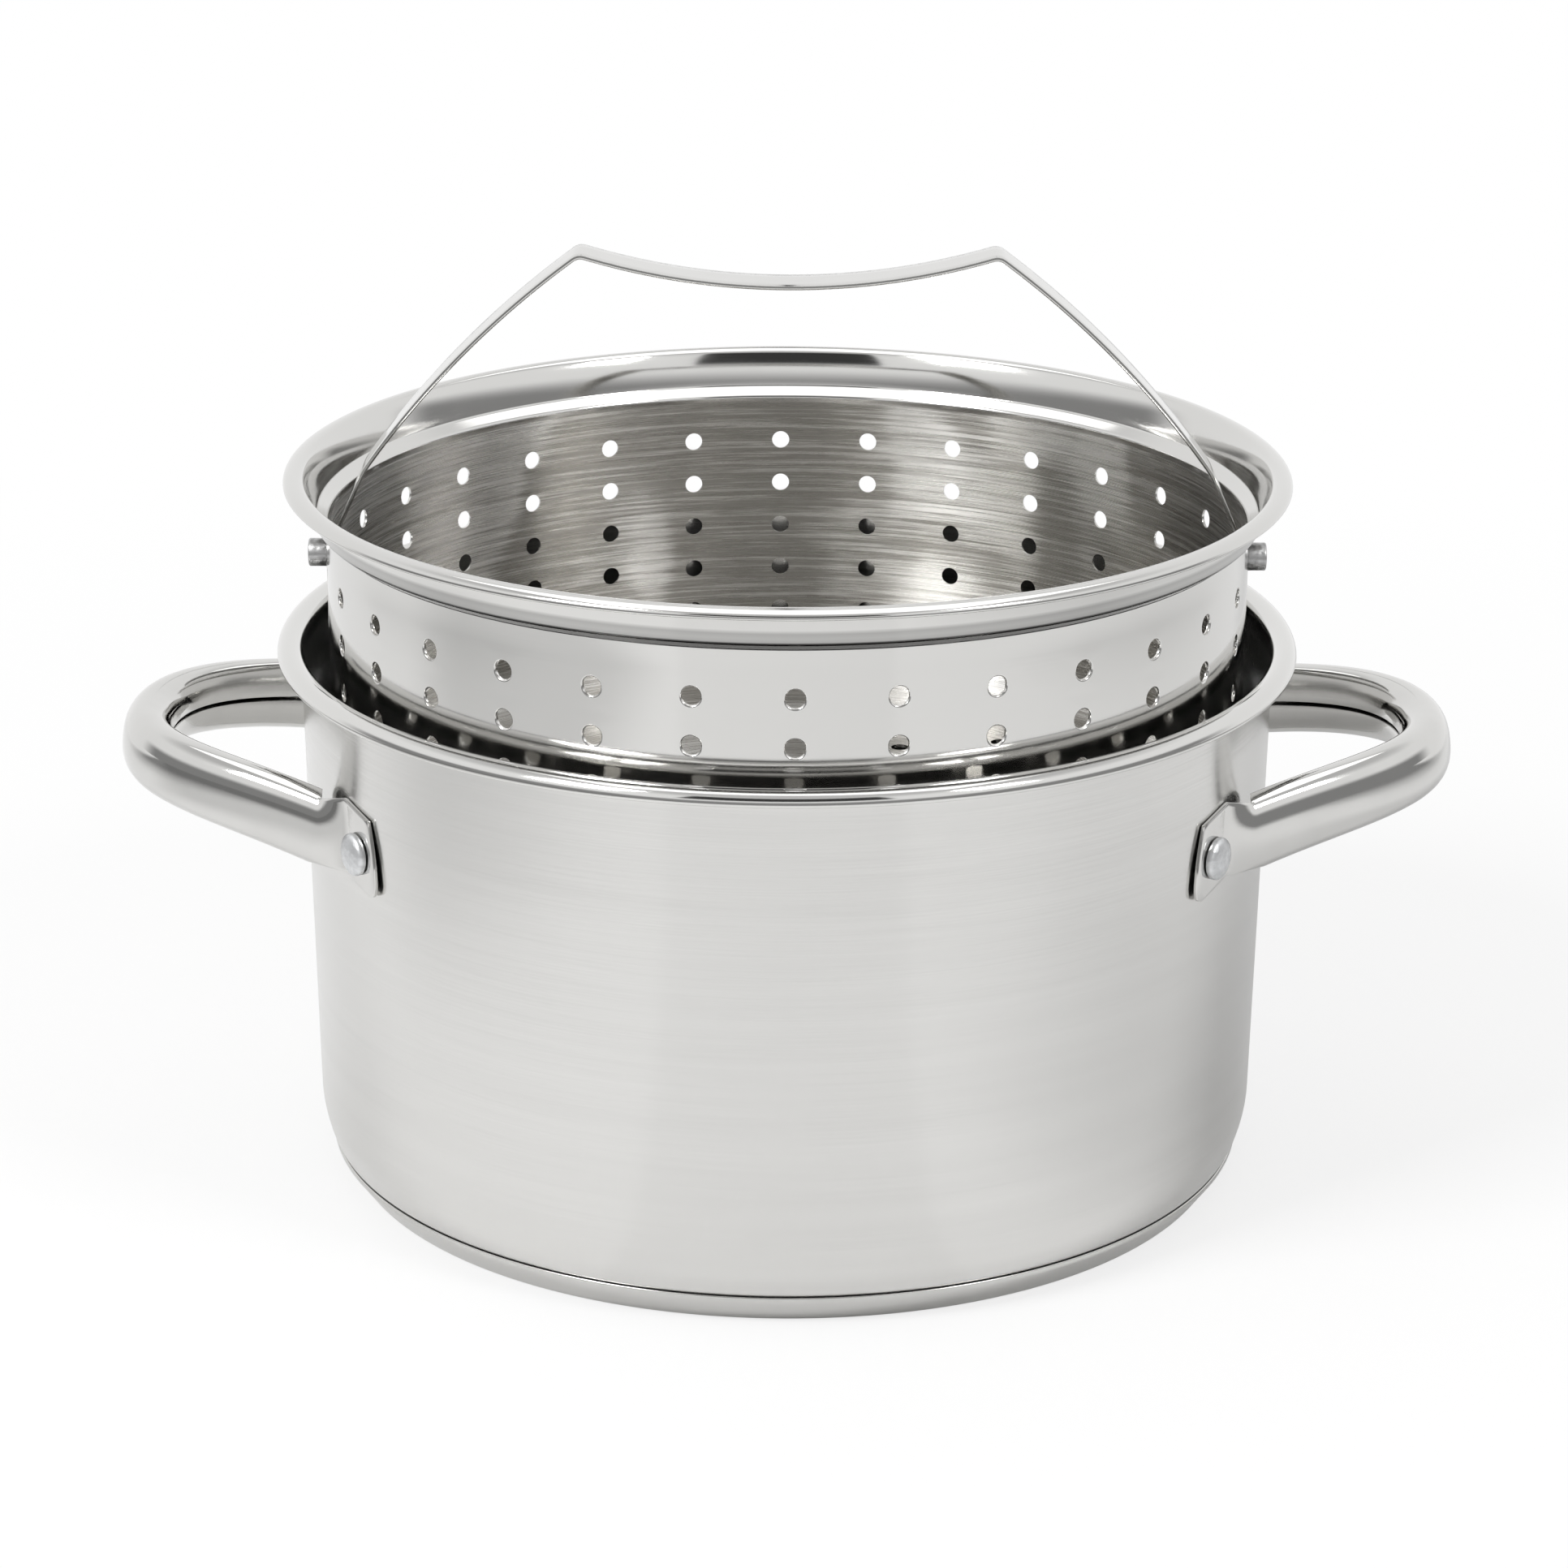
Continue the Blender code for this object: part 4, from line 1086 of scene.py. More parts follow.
def basket_steel():
    """The basket: bright outside and on its lip, brushed round inside."""
    finish = settings().finish
    metal = Metal("Basket steel", finish.steel, finish.polish)
    wiring = metal.wiring
    normal = wiring.add("ShaderNodeNewGeometry").outputs["Normal"]
    top = basket_edge() + wall_start()
    inside = inside_of_basket(metal, normal, top)
    lines = metal.round_lines(BASKET_LINES, 4.0, 0.7)
    streaks = metal.round_lines(BASKET_STREAKS, 4.0, 0.75)
    smudge = metal.noise(metal.place, 45.0, 3.0)
    brushed = metal.roughened(lines, finish.brushed_roughness, 0.75, 1.3)
    bright = metal.roughened(lines, finish.polish, 0.9, 1.5)
    bright = metal.smudged(bright, smudge, (0.45, 0.8), 0.05)
    metal.link(metal.blend(inside, bright, brushed), "Roughness")
    # Bright and dull patches: a painted reflection, a tint in the shape of reflections and not a
    # real colour; the brush streaks in it are real
    patches = wiring.fade(metal.round_lines(BASKET_PATCHES, 1.5), (0.56, 0.44))
    tone = wiring.sum("ADD", wiring.range(streaks, 0.6, 0.4, -0.5, 0.5), patches, True)
    brushed = metal.mixed(tone, finish.painted_bright, finish.brushed)
    # The dark of the step under the collar is such a tint too
    step = step_under_collar(metal, normal, top)
    outside = metal.mixed(step, finish.steel, darker(finish.steel, 0.12))
    metal.shade(inside, outside, brushed)
    depth = metal.blend(inside, 0.02, 0.4)
    metal.bump(wiring.times(wiring.sum("ADD", lines, streaks), depth), 1.0, 0.00002)
    metal.brushed_round(0.0)
    metal.link(wiring.times(inside, 0.92), "Anisotropic")
    return metal.material


def rivet_aluminium(name, tint, roughness):
    """Soft metal that was hammered to set it."""
    metal = Metal(name, tint, roughness)
    inputs = {"Vector": metal.place, "Scale": 900.0}
    facets = metal.wiring.add("ShaderNodeTexVoronoi", inputs, feature="SMOOTH_F1").outputs[0]
    grain = metal.noise(metal.place, 2500.0, 3.0, 0.6)
    patina = metal.noise(metal.place, 500.0, 3.0, 0.6)
    metal.link(metal.roughened(patina, roughness, 0.8, 1.25), "Roughness")
    metal.shade(metal.wiring.range(patina, 0.35, 0.75), tint, darker(tint, 0.78))
    hammered = metal.wiring.sum("ADD", facets, metal.wiring.times(grain, 0.15))
    metal.bump(hammered, 0.35, 0.0003)
    return metal.material


def core_aluminium():
    """The disc pressed in under the pot, with its sawn and turned faces."""
    tint = settings().finish.core
    metal = Metal("Core aluminium", tint, 0.42)
    lines = metal.round_lines(CORE_LINES, 3.0, 0.6)
    grain = metal.noise(metal.place, 1600.0)
    metal.link(metal.wiring.range(lines, *NOISE_SPAN, 0.32, 0.52), "Roughness")
    metal.shade(metal.wiring.range(grain, *NOISE_SPAN), tint, darker(tint, 0.88))
    metal.bump(lines, 0.08, 0.00004)
    return metal.material


# Pieces


def turned_piece(name, outlines, steps, material):
    """An object with the turning tree on it, still live."""
    item = profile_object(name, *outlines)
    add_tree(item, turned_tree(), Steps=steps, Material=material)
    return item


def add_drill(item, places, radius, material, length=DRILL_LENGTH):
    """Drill round holes, square to the axis, at the vertices of places."""
    values = {"Places": places, "Radius": radius, "Length": length, "Sides": RIVET_SIDES}
    add_tree(item, drilled_tree(), Material=material, **values)


def rivet_points():
    """Places of the four handle rivets in the pot's wall."""
    angle = settings().rivet.angle
    wall = pot_wall_radius(rivet_height())
    spots = []
    for side in (-1, 1):
        for leg in (-1, 1):
            across = (side * wall * math.cos(angle), leg * wall * math.sin(angle))
            spots.append((*across, rivet_height()))
    return spots


def pivot_points():
    """Places of the two pivot rivets in the basket's wall."""
    wall = basket_wall_radius(settings().bail.pivot_drop)
    return [(side * wall, 0.0, pivot_height()) for side in (-1, 1)]


def make_pot():
    pot, rivet = settings().pot, settings().rivet
    material = satin_steel()
    outline = sheet_outline(pot_path(), pot.sheet)
    item = turned_piece("pot_shell", [outline], pot.steps, material)
    places = new_mesh_object("rivet_places", rivet_points())
    add_drill(item, places, rivet.shank_radius + GAP, material)
    smooth(baked(item))
    discard(places)
    dress(item, material, "pot", "pot_steel", "pot_body")


def make_base():
    base = settings().base
    material = base_steel()
    outline = sheet_outline(cap_path(), base.sheet)
    cap = turned_piece("base_shell", [outline], settings().pot.steps, material)
    smooth(baked(cap))
    dress(cap, material, "pot", "base_steel", "base_cap")
    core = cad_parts["base_core"]
    for slot in core.material_slots:
        slot.material = core_aluminium()


def hole_tile():
    """One wall hole with the sheet round it, bent to the wall, at height 0.

    Rings run from the outer face's rectangle through the hole to the inner
    face's rectangle.
    """
    basket = settings().basket
    wide, high = 6, 4
    wall, half = basket_wall_radius(), basket.sheet / 2
    reach, rise = math.pi / basket.columns * wall, basket.pitch / 2
    rim = [(1.0 - 2.0 * index / wide, 1.0) for index in range(wide)]
    rim += [(-1.0, 1.0 - 2.0 * index / high) for index in range(high)]
    rim += [(-across, -up) for across, up in rim]
    sides = len(rim)
    first = math.atan2(rise, reach)
    radius, roll = basket.hole_radius, basket.hole_roll
    edge = radius + roll * 1.9
    # Each ring's radius at the hole, its share of the way to the rectangle, and
    # its distance outwards from the sheet's middle
    rings = (
        (edge, 1.0, half),
        (edge, 0.62, half),
        (edge, 0.28, half),
        (edge, 0.0, half),
        (radius + roll * 1.4, 0.0, half),
        (radius + roll * 0.6, 0.0, half * 0.78),
        (radius, 0.0, half * 0.2),
        (radius, 0.0, -half),
        (radius, 0.35, -half),
        (radius, 0.68, -half),
        (radius, 1.0, -half),
    )
    shape = bmesh.new()
    loops = []
    for start, share, offset in rings:
        loop = []
        for index, (across, up) in enumerate(rim):
            angle = first + math.tau * index / sides
            near = Vector((math.cos(angle), math.sin(angle))) * start
            spot = near.lerp(Vector((across * reach, up * rise)), share)
            turn = spot.x / wall
            place = (math.cos(turn) * (wall + offset), math.sin(turn) * (wall + offset))
            loop.append(shape.verts.new((*place, spot.y - basket.hole_top)))
        loops.append(loop)
    for loop, following in zip(loops, loops[1:]):
        for index in range(sides):
            after = (index + 1) % sides
            shape.faces.new((loop[index], loop[after], following[after], following[index]))
    mesh = bpy.data.meshes.new("hole_tile")
    shape.to_mesh(mesh)
    shape.free()
    return new_object("hole_tile", mesh)


def hole_lining():
    """The edge of one floor hole, centred on the sheet."""
    basket = settings().basket
    points = []
    for height in (basket.sheet / 2, -basket.sheet / 2):
        for index in range(HOLE_SIDES):
            angle = math.tau * index / HOLE_SIDES
            across = basket.hole_radius * math.cos(angle)
            points.append((across, basket.hole_radius * math.sin(angle), height))
    faces = []
    for index in range(HOLE_SIDES):
        after = (index + 1) % HOLE_SIDES
        faces.append((index, after, HOLE_SIDES + after, HOLE_SIDES + index))
    return new_mesh_object("hole_lining", points, (), faces)


def make_basket():
    basket, bail = settings().basket, settings().bail
    material = basket_steel()
    outer, inner = sides_of(basket_lower_path(), basket.sheet)
    outlines = (sheet_outline(basket_upper_path(), basket.sheet), list(reversed(inner)), outer)
    item = profile_object("basket_shell", *outlines)
    tile, lining = hole_tile(), hole_lining()
    wall = basket_wall_radius()
    values = {
        "Steps": basket.steps,
        "Tile": tile,
        "Columns": basket.columns,
        "Rows": basket.rows,
        "Pitch": basket.pitch,
        "Lining": lining,
        "Floor pitch": basket.floor_pitch,
        "Floor radius": wall - basket.corner_radius,
        "Floor height": -basket.depth + basket.sheet / 2,
        "Sheet": basket.sheet,
        "Hole radius": basket.hole_radius,
        "Hole sides": HOLE_SIDES,
        "Taper": basket.taper / wall,
        "Taper top": wall_start(),
        "Taper bottom": -basket.depth + basket.corner_radius,
        "Phase": basket.phase - math.pi / 2,
        "Edge height": basket_edge(),
        "Material": material,
    }
    add_tree(item, basket_tree(basket.floor_rings), **values)
    places = new_mesh_object("pivot_places", pivot_points())
    add_drill(item, places, bail.shank_radius + GAP, material)
    smooth(baked(item), angle=50.0)
    discard(places, tile, lining)
    dress(item, material, "basket", "basket_steel", "steamer_basket")


def set_rivets(name, outline, spots, unevenness, material):
    """Like rivets at given places, as one mesh."""
    profile = profile_object(name + "_profile", outline)
    item = new_mesh_object(name, spots)
    values = {"Profile": profile, "Steps": RIVET_SIDES, "Grain": HAMMER_GRAIN}
    add_tree(item, rivets_tree(), Material=material, Unevenness=unevenness, **values)
    smooth(baked(item), angle=45.0)
    discard(profile)
    return item


def make_handle_rivets():
    finish, rivet = settings().finish, settings().rivet
    material = rivet_aluminium("Rivet aluminium", finish.rivet, roughness=0.42)
    item = set_rivets("handle_rivets", rivet_outline(), rivet_points(), rivet.hammering, material)
    nodes = ("left_front_rivet", "left_rear_rivet", "right_front_rivet", "right_rear_rivet")
    dress(item, material, "pot", "rivet_aluminium", *nodes)


def make_pivot_rivets():
    finish = settings().finish
    material = rivet_aluminium("Pivot metal", finish.pivot, roughness=0.35)
    spots = pivot_points()
    item = set_rivets("pivot_rivets", pivot_outline(), spots, PIVOT_UNEVENNESS, material)
    nodes = ("left_pivot_rivet", "right_pivot_rivet")
    dress(item, material, "basket", "pivot_aluminium", *nodes)


# Handles


def plate_offset():
    """Pot wall's middle to the mounting plate's middle, along a rivet."""
    return settings().pot.sheet / 2 + GAP + settings().handle.sheet / 2


def handle_layout():
    """Points in plan that place the front leg of the +X handle.

    Returns the plate's bend, the direction along the plate, the leg's
    direction towards the pot and the leg's outward side.
    """
    handle, angle = settings().handle, settings().rivet.angle
    normal = Vector((math.cos(angle), -math.sin(angle)))
    along = Vector((-math.sin(angle), -math.cos(angle)))
    wall = pot_wall_radius(rivet_height()) + plate_offset()
    bend = normal * wall - along * settings().rivet.to_bend
    leg = handle.leg_angle
    inward = Vector((-math.cos(leg), -math.sin(leg)))
    outside = Vector((math.sin(leg), -math.cos(leg)))
    return bend, along, inward, outside


def bezier(points, share):
    """A point of a cubic curve, and the curve's direction there."""
    left = 1.0 - share
    place = points[0] * left**3 + points[1] * 3 * left * left * share
    place += points[2] * 3 * left * share * share + points[3] * share**3
    slope = (points[1] - points[0]) * left * left
    slope += (points[2] - points[1]) * 2 * left * share
    slope += (points[3] - points[2]) * share * share
    return place, slope.normalized()


def tube_controls():
    """Control points of the tube's middle, from the far end to the flag."""
    handle = settings().handle
    bend, _, inward, outside = handle_layout()
    sheet_end = bend - inward * handle.flag_length
    end = sheet_end - outside * (handle.leg_width - handle.sheet) / 2
    far = pot_wall_radius(rivet_height()) + settings().pot.sheet / 2 + handle.reach
    plan = (
        Vector((far, 0.0)),
        Vector((far, -handle.end_pull)),
        end - inward * handle.leg_pull,
        end,
    )
    rises = (handle.rise_end, handle.rise_end, handle.rise_leg, handle.rise_flag)
    return [Vector((*spot, rivet_height() + rise)) for spot, rise in zip(plan, rises)]


def section_point(angle, width, depth):
    """A point on the tube's superellipse: (outward, up)."""
    power = 2.0 / settings().handle.squareness
    across = math.copysign(abs(math.cos(angle)) ** power, math.cos(angle))
    upward = math.copysign(abs(math.sin(angle)) ** power, math.sin(angle))
    return across * width / 2, upward * depth / 2


def tube_row(controls, share):
    """One ring of the tube's sheet, from the seam's top lip to its lower."""
    handle = settings().handle
    place, forward = bezier(controls, share)
    outward = Vector((-forward.y, forward.x, 0.0)).normalized()
    upward = forward.cross(outward)
    lean = handle.lean * (1.0 - share)
    outward_lean = outward * math.cos(lean) + upward * math.sin(lean)
    upward_lean = upward * math.cos(lean) - outward * math.sin(lean)
    width = handle.width + (handle.leg_width - handle.width) * share - handle.sheet
    depth = handle.depth + (handle.leg_depth - handle.depth) * share - handle.sheet
    skew = handle.flag_skew * share**6  # near the tube's end only
    start = math.pi - handle.seam
    row = []
    for index in range(handle.section_steps + 1):
        angle = start - 2 * start * index / handle.section_steps
        across, high = section_point(angle, width, depth)
        point = place + outward_lean * across + upward_lean * high
        row.append(point - forward * skew * (width / 2 - across))
    return row


def plate_point(distance, height):
    """World point of the front plate of the +X handle."""
    bend, along, _, _ = handle_layout()
    return Vector((*(bend + along * distance), rivet_height() + height))


def edge_at(share):
    """Point of the plate's free edge, a share of the way down."""
    place = share * (len(PLATE_EDGE) - 1)
    index = min(int(place), len(PLATE_EDGE) - 2)
    first, second = Vector(PLATE_EDGE[index]), Vector(PLATE_EDGE[index + 1])
    return first.lerp(second, place - index)


def flag_rows(curved):
    """Rows of the open flag and of the plate, past the tube's end."""
    handle = settings().handle
    shares = [column / handle.flag_columns for column in range(handle.flag_columns + 1)]
    drop = handle.bend_top + handle.bend_bottom
    bend_row = [plate_point(0.0, handle.bend_top - drop * share) for share in shares]
    rows = []
    for step in range(1, handle.flag_steps + 1):
        blend = step / handle.flag_steps
        rows.append([near.lerp(far, blend) for near, far in zip(curved, bend_row)])
    edge_row = [plate_point(*edge_at(share)) for share in shares]
    for step in range(1, handle.plate_steps + 1):
        blend = step / handle.plate_steps
        rows.append([near.lerp(far, blend) for near, far in zip(bend_row, edge_row)])
    return rows


def handle_half():
    """The front half of the +X handle, as an open sheet: points and faces."""
    handle = settings().handle
    controls = tube_controls()
    rows = [tube_row(controls, step / handle.steps) for step in range(handle.steps + 1)]
    for point in rows[0]:
        point.y = 0.0
    first = (handle.section_steps - handle.flag_columns) // 2
    points = [point for row in rows for point in row]
    faces = []
    across = handle.section_steps + 1
    for step in range(handle.steps):
        for column in range(handle.section_steps):
            corner = step * across + column
            faces.append((corner, corner + 1, corner + across + 1, corner + across))
    begin = handle.steps * across + first
    row = list(range(begin, begin + handle.flag_columns + 1))
    curved = [points[index].copy() for index in row]
    for following in flag_rows(curved):
        start = len(points)
        points += following
        after = list(range(start, start + len(following)))
        for column in range(handle.flag_columns):
            faces.append((row[column], row[column + 1], after[column + 1], after[column]))
        row = after
    return points, faces


def make_handles():
    handle, rivet = settings().handle, settings().rivet
    material = polished_steel("Handle steel", HANDLE_SCRATCHES)
    points, faces = handle_half()
    places = new_mesh_object("rivet_places", rivet_points())
    for side, turn in (("right", 1.0), ("left", -1.0)):
        spots = [(point.x * turn, point.y * turn, point.z) for point in points]
        item = new_mesh_object(side + "_loop_handle", spots, (), faces)
        mirror = item.modifiers.new("Other leg", "MIRROR")
        mirror.use_axis = (False, True, False)
        mirror.use_mirror_merge = True
        mirror.merge_threshold = MERGE
        baked(item)
        face_outward(item)
        add_thickness(item, handle.sheet, edge=handle.sheet * 0.22)
        add_drill(item, places, rivet.shank_radius + GAP, material)
        smooth(baked(item))
        dress(item, material, "pot", "handle_steel", side + "_handle")
    discard(places)


def face_outward(item):
    """Turn all faces of an open sheet the same way."""
    shape = bmesh.new()
    shape.from_mesh(item.data)
    bmesh.ops.recalc_face_normals(shape, faces=shape.faces)
    shape.to_mesh(item.data)
    shape.free()


# Bail


def rounded(corners, bends, steps=10):
    """Replace each inner corner of a path by an arc of its bend radius."""
    points = [corners[0]]
    for before, corner, after, bend in zip(corners, corners[1:], corners[2:], bends):
        back = (before - corner).normalized()
        ahead = (after - corner).normalized()
        half = back.angle(ahead) / 2
        reach = min(bend / math.tan(half), (before - corner).length * 0.49)
        start, end = corner + back * reach, corner + ahead * reach
        for index in range(steps + 1):
            share = index / steps
            points.append(start.lerp(corner, share).lerp(corner.lerp(end, share), share))
    points.append(corners[-1])
    return points


def bowed(start, end, bow, steps):
    """Points between two ends along an arc that bows to its left.

    A negative bow goes to the right.
    """
    chord = end - start
    side = Vector((-chord.y, chord.x)).normalized()
    radius = (chord.length**2 / 4 + bow**2) / (2 * abs(bow))
    points = []
    for index in range(1, steps):
        share = index / steps
        along = (share - 0.5) * chord.length
        rise = math.sqrt(radius**2 - along**2) - radius + abs(bow)
        points.append(start + chord * share + side * math.copysign(rise, bow))
    return points


def bail_path():
    """Middle of the bail's sheet from its middle to the +X foot: (x, height)."""
    bail = settings().bail
    foot = bail_foot_reach()
    corner = Vector((bail.corner_reach, bail.corner_height))
    mirrored = Vector((-bail.corner_reach, bail.corner_height))
    knee = Vector((foot - bail.knee_inset, bail.knee_height))
    dip = [point for point in bowed(corner, mirrored, bail.dip, 32) if point.x >= -GAP]
    dip.reverse()
    dip[0].x = 0.0
    arm = bowed(corner, knee, bail.arm_bow, 24)
    top = rounded([dip[-1], corner, arm[0]], [bail.corner_bend])
    shin = Vector((foot, bail.foot_height))
    low = rounded([arm[-1], knee, shin, Vector((foot, 0.0))], [bail.knee_bend, bail.foot_bend])
    return dip[:-1] + top + arm[1:-1] + low


def make_bail():
    bail = settings().bail
    material = polished_steel("Bail steel", BAIL_SCRATCHES)
    half = bail.width / 2
    rows = [(point, half) for point in bail_path()]
    foot = rows[-1][0]
    for step in range(1, FOOT_ROWS + 1):
        angle = math.radians(FOOT_STEP * step)
        point = Vector((foot.x, foot.y - half * math.sin(angle)))
        rows.append((point, half * math.cos(angle)))
    rows = [(Vector((-point.x, point.y)), reach) for point, reach in reversed(rows[1:])] + rows
    points = []
    for point, reach in rows:
        points += [(point.x, share * reach, point.y) for share in STRIP_SHARES]
    across = len(STRIP_SHARES)
    faces = []
    for row in range(len(rows) - 1):
        for column in range(across - 1):
            corner = row * across + column
            faces.append((corner, corner + across, corner + across + 1, corner + 1))
    item = new_mesh_object("bail_strip", points, (), faces)
    item.data.transform(Matrix.Rotation(-bail.lean, 4, "X"))
    item.data.transform(Matrix.Translation((0.0, 0.0, pivot_height())))
    add_thickness(item, bail.sheet, edge=bail.sheet * 0.25)
    places = new_mesh_object("pivot_places", pivot_points())
    add_drill(item, places, bail.shank_radius + GAP, material, length=2 * DRILL_LENGTH)
    smooth(baked(item))
    discard(places)
    dress(item, material, "bail", "bail_steel", "bail")


# Stage


# Where the floor's brightness changes: metres from the axis, or along X or Y.
# In each pair the change is 0 at the first value and full at the second.
SHADOW_FADE = (0.15, 0.7)
MIRROR_FADE = (0.4, 1.0)
FRONT_ROOM = (-0.75, -1.15)
SIDE_ROOM = (0.45, 0.62)
SIDE_ROOM_Y = (0.5, 0.2)
LEFT_CARD_X = (-0.24, -0.40)
LEFT_CARD_Y = (0.1, -0.12)
# Painted shadow of the pot on the table at its right, which only the metal sees
RIGHT_SHADOW_X = (0.09, 0.17)
RIGHT_SHADOW_END = (0.40, 0.28)
RIGHT_SHADOW_Y = (-0.30, -0.05)
AHEAD_DIM = (0.47, 0.40)  # X over the way ahead

# Where the room's brightness changes, as parts of a direction of length 1
ROOM_Y = (0.45, 0.15)
ROOM_RISE = (0.34, 0.16)
CEILING_RISE = (0.6, 0.85)
GAP_SIDES = (0.47, 0.43)  # X over the way ahead
GAP_FOOT = (0.38, 0.44)
GAP_TOP = (0.76, 0.71)

UNDER_OBJECT = 0.72  # share of plain white of the floor under the pot
AHEAD_SHARE = 0.045  # how much the table straight in front is dimmed
GAP_LEVEL = 0.05  # brightness left in the dark gap
SENSOR_WIDTH = 36.0

# Name, place, aim, side and power in watts of each lamp
LAMPS = (
    ("Overhead", (0.0, 0.2, 1.5), (0.0, 0.0, 0.1), 1.4, 7.0),
    ("Key", (-1.7, -1.3, 2.1), (0.0, 0.0, 0.05), 0.9, 44.0),
    ("Fill", (1.6, -1.2, 1.9), (0.0, 0.0, 0.1), 0.6, 15.0),
)


def sideways(wiring, parts):
    """How far to the side a place or direction is, over its way ahead along -Y."""
    ahead = wiring.sum("MAXIMUM", 0.01, wiring.times(parts["Y"], -1.0))
    return wiring.sum("DIVIDE", wiring.sum("ABSOLUTE", parts["X"]), ahead)


def room_share(wiring, parts):
    """1 where a dim room takes the mirrored table's place, in front and at the sides."""
    front = wiring.fade(parts["Y"], FRONT_ROOM)
    side = wiring.fade(wiring.sum("ABSOLUTE", parts["X"]), SIDE_ROOM)
    side = wiring.times(side, wiring.fade(parts["Y"], SIDE_ROOM_Y))
    return wiring.sum("MAXIMUM", front, side)


def table_dimming(wiring, parts):
    """How much the mirrored table is dimmed: straight ahead, by a card at the left, and by a
    painted shadow of the pot at the right.
    """
    stage = settings().stage
    ahead = wiring.fade(sideways(wiring, parts), AHEAD_DIM, 0.0, AHEAD_SHARE)
    left = wiring.fade(parts["X"], LEFT_CARD_X, 0.0, stage.left_card)
    left = wiring.times(left, wiring.fade(parts["Y"], LEFT_CARD_Y))
    # Painted shadow of the pot, on the table at its right
    right = wiring.fade(parts["X"], RIGHT_SHADOW_X, 0.0, stage.right_painted_shadow)
    right = wiring.times(right, wiring.fade(parts["X"], RIGHT_SHADOW_END))
    right = wiring.times(right, wiring.fade(parts["Y"], RIGHT_SHADOW_Y))
    return wiring.sum("ADD", ahead, wiring.sum("ADD", left, right))


def make_floor():
    """Pale floor that is white to the view and in the metal, with a shadow."""
    stage = settings().stage
    size = stage.floor_size / 2
    corners = [(-size, -size, 0.0), (size, -size, 0.0), (size, size, 0.0), (-size, size, 0.0)]
    floor = new_mesh_object("floor", corners, (), [(0, 1, 2, 3)])
    material, wiring = new_material("Pale floor")
    place = wiring.add("ShaderNodeTexCoord").outputs["Object"]
    reach = wiring.vector("LENGTH", place, output="Value")
    parts = wiring.parts(place)
    path = wiring.add("ShaderNodeLightPath").outputs
    glossy = path["Is Glossy Ray"]
    seen = wiring.sum("MAXIMUM", path["Is Camera Ray"], path["Is Transmission Ray"])
    seen = wiring.times(seen, wiring.fade(reach, SHADOW_FADE, UNDER_OBJECT, 1.0))
    mirrored = wiring.times(glossy, wiring.fade(reach, MIRROR_FADE))
    room = wiring.times(room_share(wiring, parts), glossy)
    level = wiring.range(room, 0.0, 1.0, 1.0, stage.room_level)
    diffuse = wiring.add("ShaderNodeBsdfDiffuse", {"Color": (*stage.floor_colour, 1.0)})
    glow = wiring.add("ShaderNodeEmission", {"Color": WHITE, "Strength": level})
    share = wiring.sum("MAXIMUM", seen, mirrored)
    mix = {0: share, 1: diffuse.outputs[0], 2: glow.outputs[0]}
    mix = wiring.add("ShaderNodeMixShader", mix).outputs[0]
    dim = wiring.times(table_dimming(wiring, parts), glossy)
    dark = wiring.add("ShaderNodeEmission", {"Strength": 0.0}).outputs[0]
    mix = wiring.add("ShaderNodeMixShader", {0: dim, 1: mix, 2: dark}).outputs[0]
    wiring.add("ShaderNodeOutputMaterial", {"Surface": mix})
    floor.data.materials.append(material)


def sky_level(wiring):
    """Brightness of the mirrored room: dim in front, with a gap for a camera."""
    stage = settings().stage
    sky = wiring.parts(wiring.add("ShaderNodeTexCoord").outputs["Generated"])
    rise = sky["Z"]
    room = wiring.times(wiring.fade(sky["Y"], ROOM_Y), wiring.fade(rise, ROOM_RISE))
    level = wiring.range(room, 0.0, 1.0, 1.0, stage.room_level)
    level = wiring.times(level, wiring.fade(rise, CEILING_RISE, 1.0, stage.ceiling_level))
    gap = wiring.fade(sideways(wiring, sky), GAP_SIDES)
    gap = wiring.times(gap, wiring.range(rise, *GAP_FOOT), wiring.range(rise, *GAP_TOP))
    return wiring.times(level, wiring.range(gap, 0.0, 1.0, 1.0, GAP_LEVEL))


def make_world():
    """White to the view; in the metal, white with a dim room in front."""
    world = bpy.data.worlds.new("Pale room")
    world.use_nodes = True
    world.node_tree.nodes.clear()
    wiring = Wiring(world.node_tree)

    def background(strength):
        inputs = {"Color": WHITE, "Strength": strength}
        return wiring.add("ShaderNodeBackground", inputs).outputs[0]

    path = wiring.add("ShaderNodeLightPath").outputs
    view = wiring.sum("MAXIMUM", path["Is Camera Ray"], path["Is Transmission Ray"])
    light = background(settings().stage.room_light)
    mix = {0: path["Is Glossy Ray"], 1: light, 2: background(sky_level(wiring))}
    mix = wiring.add("ShaderNodeMixShader", mix).outputs[0]
    mix = wiring.add("ShaderNodeMixShader", {0: view, 1: mix, 2: background(1.0)}).outputs[0]
    wiring.add("ShaderNodeOutputWorld", {"Surface": mix})
    bpy.context.scene.world = world


def add_lamp(name, place, target, size, power):
    """A square soft lamp that looks at a point."""
    lamp = bpy.data.lights.new(name, "AREA")
    lamp.shape = "SQUARE"
    lamp.size = size
    lamp.energy = power
    item = new_object(name, lamp)
    item.location = place
    aim = Vector(target) - Vector(place)
    item.rotation_euler = aim.to_track_quat("-Z", "Y").to_euler()


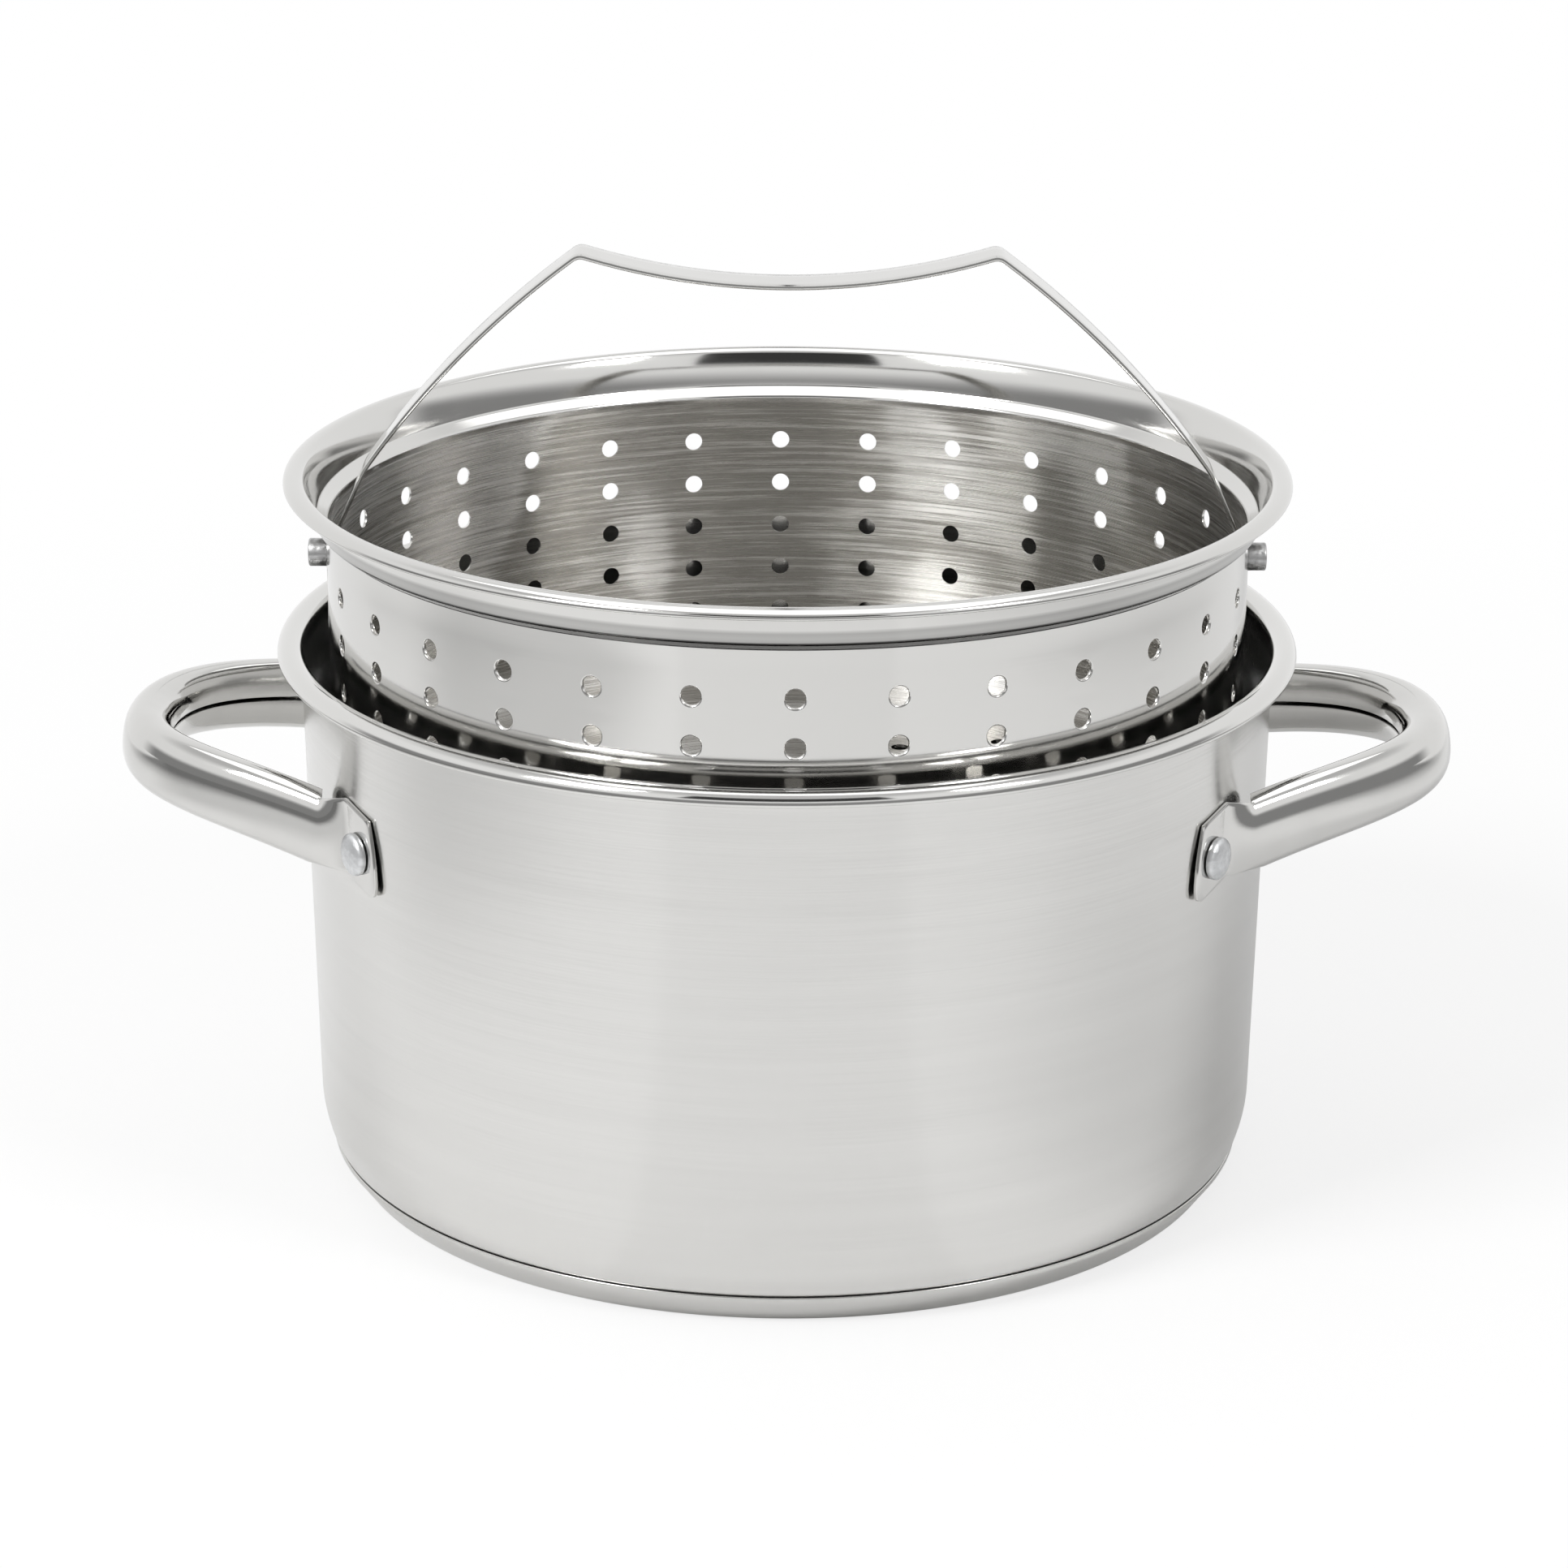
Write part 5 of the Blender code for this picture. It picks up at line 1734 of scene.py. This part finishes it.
def make_camera():
    stage = settings().stage
    data = bpy.data.cameras.new("View")
    data.sensor_width = SENSOR_WIDTH
    data.lens = stage.lens
    camera = new_object("View", data)
    camera.location = (0.0, -stage.camera_back, stage.camera_height)
    turn = Matrix.Rotation(stage.camera_pan, 3, "Z")
    turn = turn @ Matrix.Rotation(math.pi / 2 - stage.camera_pitch, 3, "X")
    turn = turn @ Matrix.Rotation(stage.camera_roll, 3, "Z")
    camera.rotation_euler = turn.to_euler()
    bpy.context.scene.camera = camera


def make_stage():
    make_floor()
    make_world()
    for lamp in LAMPS:
        add_lamp(*lamp)
    make_camera()
    bpy.context.scene.view_settings.view_transform = "Standard"


# Operators, one for each piece or group of like pieces


class STEAMERPOT_OT_pot(bpy.types.Operator):
    """Build the drawn pot shell"""

    bl_idname = "steamerpot.pot"
    bl_label = "Pot shell"

    def execute(self, context):
        make_pot()
        return {"FINISHED"}


class STEAMERPOT_OT_base(bpy.types.Operator):
    """Build the capsule base and finish its core"""

    bl_idname = "steamerpot.base"
    bl_label = "Capsule base"

    def execute(self, context):
        make_base()
        return {"FINISHED"}


class STEAMERPOT_OT_handles(bpy.types.Operator):
    """Build the two loop handles"""

    bl_idname = "steamerpot.handles"
    bl_label = "Loop handles"

    def execute(self, context):
        make_handles()
        return {"FINISHED"}


class STEAMERPOT_OT_handle_rivets(bpy.types.Operator):
    """Build the four handle rivets"""

    bl_idname = "steamerpot.handle_rivets"
    bl_label = "Handle rivets"

    def execute(self, context):
        make_handle_rivets()
        return {"FINISHED"}


class STEAMERPOT_OT_basket(bpy.types.Operator):
    """Build the punched steamer basket"""

    bl_idname = "steamerpot.basket"
    bl_label = "Steamer basket"

    def execute(self, context):
        make_basket()
        return {"FINISHED"}


class STEAMERPOT_OT_pivot_rivets(bpy.types.Operator):
    """Build the two pivot rivets of the bail"""

    bl_idname = "steamerpot.pivot_rivets"
    bl_label = "Pivot rivets"

    def execute(self, context):
        make_pivot_rivets()
        return {"FINISHED"}


class STEAMERPOT_OT_bail(bpy.types.Operator):
    """Build the carrying bail"""

    bl_idname = "steamerpot.bail"
    bl_label = "Bail"

    def execute(self, context):
        make_bail()
        return {"FINISHED"}


class STEAMERPOT_OT_stage(bpy.types.Operator):
    """Build the floor, the world, the lamps and the camera"""

    bl_idname = "steamerpot.stage"
    bl_label = "Stage"

    def execute(self, context):
        make_stage()
        return {"FINISHED"}


class STEAMERPOT_PT_sidebar(bpy.types.Panel):
    """The pieces of the steamer pot, in order"""

    bl_label = "Steamer Pot"
    bl_idname = "STEAMERPOT_PT_sidebar"
    bl_space_type = "VIEW_3D"
    bl_region_type = "UI"
    bl_category = "Steamer Pot"

    def draw(self, context):
        for operator in OPERATORS:
            self.layout.operator(operator.bl_idname)


GROUPS = (
    PotSizes,
    BaseSizes,
    HandleSizes,
    RivetSizes,
    BasketSizes,
    BailSizes,
    Finishes,
    StageSizes,
    SteamerPotSettings,
)

OPERATORS = (
    STEAMERPOT_OT_pot,
    STEAMERPOT_OT_base,
    STEAMERPOT_OT_handles,
    STEAMERPOT_OT_handle_rivets,
    STEAMERPOT_OT_basket,
    STEAMERPOT_OT_pivot_rivets,
    STEAMERPOT_OT_bail,
    STEAMERPOT_OT_stage,
)


def register():
    for item in (*GROUPS, *OPERATORS, STEAMERPOT_PT_sidebar):
        bpy.utils.register_class(item)
    bpy.types.Scene.steamer_pot = PointerProperty(type=SteamerPotSettings)


def unregister():
    del bpy.types.Scene.steamer_pot
    for item in reversed((*GROUPS, *OPERATORS, STEAMERPOT_PT_sidebar)):
        bpy.utils.unregister_class(item)


def main():
    """Build every piece in order."""
    register()
    bpy.ops.steamerpot.pot()
    bpy.ops.steamerpot.base()
    bpy.ops.steamerpot.handles()
    bpy.ops.steamerpot.handle_rivets()
    bpy.ops.steamerpot.basket()
    bpy.ops.steamerpot.pivot_rivets()
    bpy.ops.steamerpot.bail()
    bpy.ops.steamerpot.stage()


if __name__ == "__main__":
    main()
